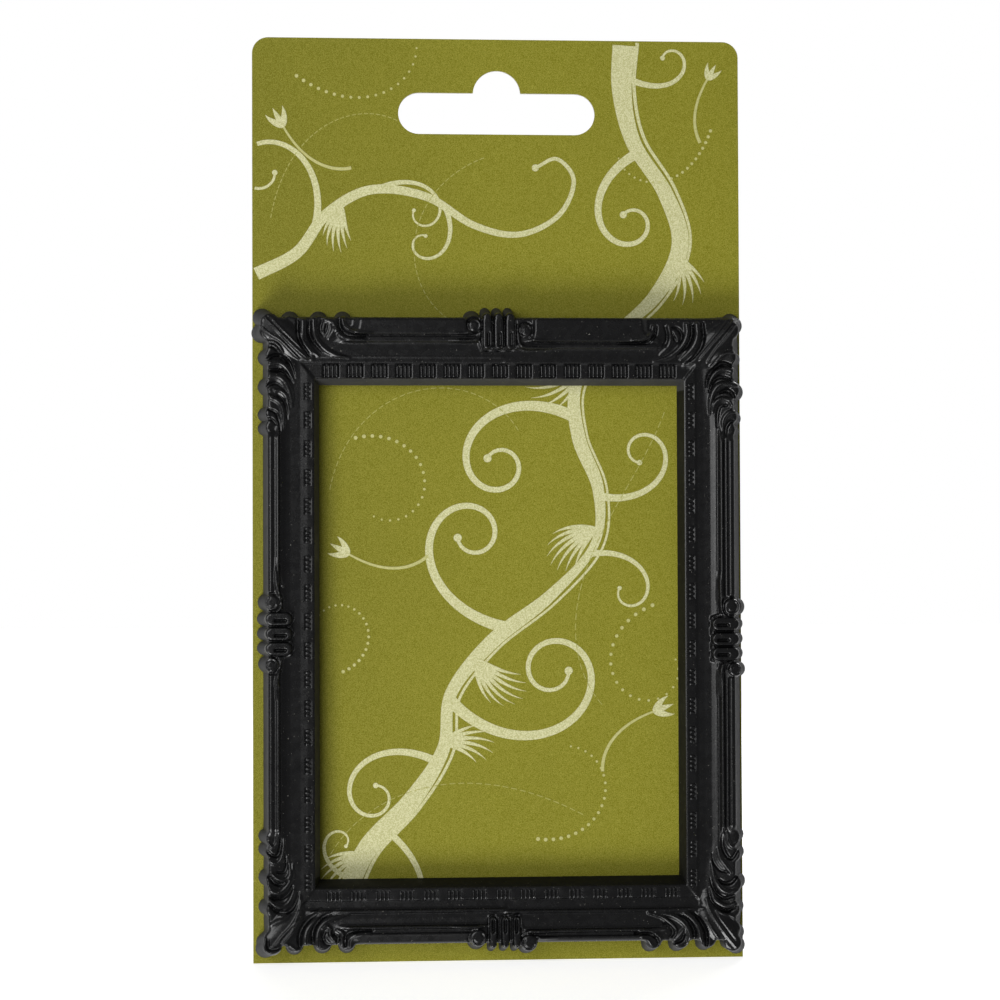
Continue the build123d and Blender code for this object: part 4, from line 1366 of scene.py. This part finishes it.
def colour(red, green, blue):
    """A screen colour, 0 to 255, as Blender's linear colour."""
    def linear(value):
        share = value / 255
        return share / 12.92 if share <= 0.04045 else ((share + 0.055) / 1.055) ** 2.4
    return (linear(red), linear(green), linear(blue), 1.0)


def put(tree, socket, value):
    """Sets an input of a node, or links it where the value is another node's socket."""
    if isinstance(value, bpy.types.NodeSocket):
        tree.links.new(value, socket)
    elif value is not None:
        socket.default_value = value


def set_inputs(tree, node, **values):
    """Sets or links inputs of a node by their names, with _ for a space."""
    for name, value in values.items():
        put(tree, node.inputs[name.replace("_", " ")], value)


def add_node(tree, kind, *inputs, **settings):
    """A new node with settings by name, and its first inputs in order: values, sockets, or None to skip."""
    node = tree.nodes.new(kind)
    for name, value in settings.items():
        setattr(node, name, value)
    for socket, value in zip(node.inputs, inputs):
        put(tree, socket, value)
    return node


def principled(name):
    """A new material, its nodes and their shader, ready to be set."""
    material = bpy.data.materials.new(name)
    material.use_nodes = True
    return material, material.node_tree, material.node_tree.nodes["Principled BSDF"]


def object_place(tree):
    """The place on the surface in the object's own space."""
    return add_node(tree, "ShaderNodeTexCoord").outputs["Object"]


def noise(tree, scale, detail, rough=0.5):
    """A noise texture, with a scale in grains per metre."""
    return add_node(tree, "ShaderNodeTexNoise", object_place(tree), None, scale, detail, rough).outputs["Fac"]


def ramp(tree, source, *stops):
    """A colour ramp on a value. A stop is a place and a screen colour, or a place and a share of white."""
    node = add_node(tree, "ShaderNodeValToRGB", source)
    made = node.color_ramp.elements
    for i, (place, tint) in enumerate(stops):
        stop = made[i] if i < len(made) else made.new(place)
        stop.position = place
        stop.color = colour(*tint) if isinstance(tint, tuple) else (tint, tint, tint, 1)
    return node.outputs["Color"]


def mottle(tree, source, dark, light, places=TONES_AT):
    """Two tones that a noise mixes."""
    return ramp(tree, source, *zip(places, (dark, light)))


def mix(tree, kind, share, a, b):
    """A mix of two colours. Each of share, a and b is a value or a socket."""
    node = add_node(tree, "ShaderNodeMix", share, data_type="RGBA", blend_type=kind)
    for place, value in zip(MIX_INPUTS, (a, b)):
        put(tree, node.inputs[place], value)
    return node.outputs[MIX_OUTPUT]


def map_range(tree, source, source_range, low=0.0, high=1.0):
    """A value's place in a range, as a number from low to high."""
    return add_node(tree, "ShaderNodeMapRange", source, *source_range, low, high).outputs["Result"]


def calculate(tree, operation, a, b):
    """The result of a sum on two values or sockets."""
    return add_node(tree, "ShaderNodeMath", a, b, operation=operation).outputs[0]


def bump(tree, shader, height, strength, depth):
    """Bump from a height, with its depth in millimetres."""
    node = add_node(tree, "ShaderNodeBump")
    set_inputs(tree, node, Strength=strength, Distance=depth * MM, Height=height)
    set_inputs(tree, shader, Normal=node.outputs["Normal"])


def black_plastic(name, dark, light, smoothest, roughest, specular):
    """Moulded black plastic with a faint cloud of tone, a fine grain and a few specks of dust."""
    material, tree, shader = principled(name)
    tone = mottle(tree, noise(tree, *PLASTIC_CLOUD), dark, light)
    specks = mottle(tree, noise(tree, *PLASTIC_DUST), 0.0, 1.0, DUST_AT)
    dusty = mix(tree, "MIX", specks, tone, colour(*DUST))
    gloss = mottle(tree, noise(tree, *PLASTIC_GLOSS), smoothest, roughest)
    set_inputs(tree, shader, Base_Color=dusty, Roughness=gloss, Specular_IOR_Level=specular)
    bump(tree, shader, noise(tree, *PLASTIC_GRAIN), *PLASTIC_BUMP)
    return material


def printed_ink(name, tint, paler):
    """Ink with a fine grain of two tints."""
    material, tree, shader = principled(name)
    tone = mottle(tree, noise(tree, *INK_GRAIN), tint, paler, INK_TONES_AT)
    set_inputs(tree, shader, Base_Color=tone, Roughness=0.5, Specular_IOR_Level=0.3)
    return material


def printed_card():
    """Board with fibres, and on its front a grained olive print, with painted shade that darkens it towards
    the left edge.
    """
    material, tree, shader = principled("printed_card")
    place = add_node(tree, "ShaderNodeSeparateXYZ", object_place(tree)).outputs
    olive = ramp(tree, noise(tree, *CARD_GRAIN), *OLIVES)
    clouds = mottle(tree, noise(tree, *CARD_CLOUD), CLOUD_SHADE, 1.0)
    # Painted shade: the print darkens steadily from the card's middle to its left edge.
    side = map_range(tree, place["X"], (card_low[0] * MM, 0.0), LEFT_EDGE_PAINTED_SHADE)
    printed = mix(tree, "MULTIPLY", 1.0, mix(tree, "MULTIPLY", 1.0, olive, clouds), side)
    fibre = noise(tree, *CARD_FIBRE)
    on_front = calculate(tree, "LESS_THAN", place["Y"], -(CARD_FRONT - PRINT_DEPTH) * MM)
    base = mix(tree, "MIX", on_front, mottle(tree, fibre, *BOARD_TONES), printed)
    set_inputs(tree, shader, Base_Color=base, Roughness=0.55, Specular_IOR_Level=0.15)
    bump(tree, shader, fibre, *CARD_BUMP)
    return material


def plain_material(name, dark, light, clouds, grain, roughness, rise):
    """A finish with a mottled tone and a fine grain."""
    material, tree, shader = principled(name)
    set_inputs(tree, shader, Base_Color=mottle(tree, noise(tree, *clouds), dark, light), Roughness=roughness)
    bump(tree, shader, noise(tree, *grain), *rise)
    return material


def clear_glue():
    """Milky glue that lets a little light through."""
    material, tree, shader = principled("clear_glue")
    grain = noise(tree, *GLUE_GRAIN)
    set_inputs(tree, shader, Base_Color=mottle(tree, grain, *GLUE_TONES), Roughness=0.4,
               Transmission_Weight=0.25, Specular_IOR_Level=0.3, IOR=1.48)
    bump(tree, shader, grain, *GLUE_BUMP)
    return material


def dress(name, material):
    """Gives a CAD node a better material."""
    mesh = nodes[name].data
    mesh.materials.clear()
    mesh.materials.append(material)


def either_shader(tree, share, a, b):
    """The shader a, or b where the share is 1."""
    return add_node(tree, "ShaderNodeMixShader", share, a, b).outputs[0]


def white_light(tree, strength):
    """White light of the world."""
    return add_node(tree, "ShaderNodeBackground", WHITE, strength).outputs[0]


def mirrored_ray(tree, ray):
    """1 for a ray that a shiny or clear surface sends on."""
    return calculate(tree, "MAXIMUM", ray["Is Glossy Ray"], ray["Is Transmission Ray"])


def studio_world():
    """A world that gives a little light, looks white to the camera and like a room to shiny surfaces."""
    world = bpy.data.worlds.new("studio")
    bpy.context.scene.world = world
    world.use_nodes = True
    tree = world.node_tree
    ray = add_node(tree, "ShaderNodeLightPath").outputs
    direction = add_node(tree, "ShaderNodeTexCoord").outputs["Generated"]
    towards = add_node(tree, "ShaderNodeSeparateXYZ", direction).outputs
    surround = map_range(tree, towards["Z"], SURROUND_EDGE, SURROUND_BELOW, SURROUND_ABOVE)
    behind = map_range(tree, towards["Y"], ROOM_EDGE)
    room = either_shader(tree, behind, white_light(tree, ROOM), white_light(tree, surround))
    unseen = either_shader(tree, mirrored_ray(tree, ray), white_light(tree, AMBIENT), room)
    seen = either_shader(tree, ray["Is Camera Ray"], unseen, white_light(tree, 1.0))
    set_inputs(tree, tree.nodes["World Output"], Surface=seen)


def floor_finish():
    """A pale floor that glows white where the camera or a shiny surface sees it, less so near the object."""
    material, tree, shader = principled("floor_white")
    set_inputs(tree, shader, Base_Color=(FLOOR_GREY, FLOOR_GREY, FLOOR_GREY, 1), Roughness=FLOOR_ROUGHNESS)
    distance = add_node(tree, "ShaderNodeVectorMath", object_place(tree), operation="LENGTH").outputs["Value"]
    strength = map_range(tree, distance, (NEAR_FLOOR * MM, FAR_FLOOR * MM), NEAR_GLOW, FAR_GLOW)
    glow = add_node(tree, "ShaderNodeEmission", WHITE, strength).outputs[0]
    lit = add_node(tree, "ShaderNodeAddShader", shader.outputs[0], glow).outputs[0]
    ray = add_node(tree, "ShaderNodeLightPath").outputs
    white = calculate(tree, "MAXIMUM", mirrored_ray(tree, ray), ray["Is Camera Ray"])
    surface = either_shader(tree, white, shader.outputs[0], lit)
    set_inputs(tree, tree.nodes["Material Output"], Surface=surface)
    return material


def add_floor():
    """The floor under the card. The low lamp lies below it, so it casts no shadow and shiny rays pass it."""
    mesh = bpy.data.meshes.new("floor")
    corners = [(x * FLOOR_HALF, y * FLOOR_HALF, 0) for x, y in ((-1, -1), (1, -1), (1, 1), (-1, 1))]
    mesh.from_pydata(corners, [], [(0, 1, 2, 3)])
    mesh.materials.append(floor_finish())
    floor = add_object("floor", mesh)
    floor.location.z = card_low[1] * MM
    floor.visible_shadow = False
    floor.visible_glossy = False


def area_lamp(name, place, aim, size, power):
    """A soft round lamp."""
    lamp = bpy.data.lights.new(name, "AREA")
    lamp.shape = "DISK"
    lamp.size = size
    lamp.energy = power
    obj = add_object(name, lamp)
    obj.location = stand_up(*place)
    obj.rotation_euler = (stand_up(*aim) - obj.location).to_track_quat("-Z", "Y").to_euler()


def camera():
    """The camera in front of the card, turned by its three angles from looking straight at it."""
    lens = bpy.data.cameras.new("camera")
    lens.sensor_fit = "HORIZONTAL"
    lens.sensor_width = SENSOR_WIDTH
    lens.lens = CAMERA_FOCAL_PIXELS * SENSOR_WIDTH / PICTURE_SIDE
    lens.clip_start = NEAREST
    obj = add_object("camera", lens)
    rx, ry, rz = (math.radians(a) for a in CAMERA_TURN)
    flat = Matrix.Rotation(-rx, 3, "X") @ Matrix.Rotation(-ry, 3, "Y") @ Matrix.Rotation(-rz, 3, "Z")
    upright = Matrix.Rotation(math.radians(90), 3, "X")
    obj.matrix_world = Matrix.Translation(stand_up(*CAMERA_PLACE)) @ (upright @ flat).to_4x4()
    bpy.context.scene.camera = obj


bpy.context.scene.view_settings.view_transform = "Standard"
camera()
studio_world()
add_floor()
for lamp in LAMPS:
    area_lamp(*lamp)

finishes = [black_plastic(name, *finish) for name, finish in MOULDING_FINISHES.items()]
moulding = add_piece("carved_moulding", carved_moulding(), "frame", finishes[0])
for finish in finishes[1:]:
    moulding.data.materials.append(finish)
add_piece("moulding_flutes", flutes(), "frame", finishes[0])
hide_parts("frame_moulding")

for ink, (name, material, tint, paler) in zip(printed_vine(), INKS):
    add_piece(name, ink.mesh(name), "card", printed_ink(material, tint, paler))

dress("hang_card", printed_card())
dress("glue_dots", clear_glue())
for name in MAGNETS:
    for node, material, *finish in BACK_FINISHES:
        dress(node + name, plain_material(material + name, *finish))
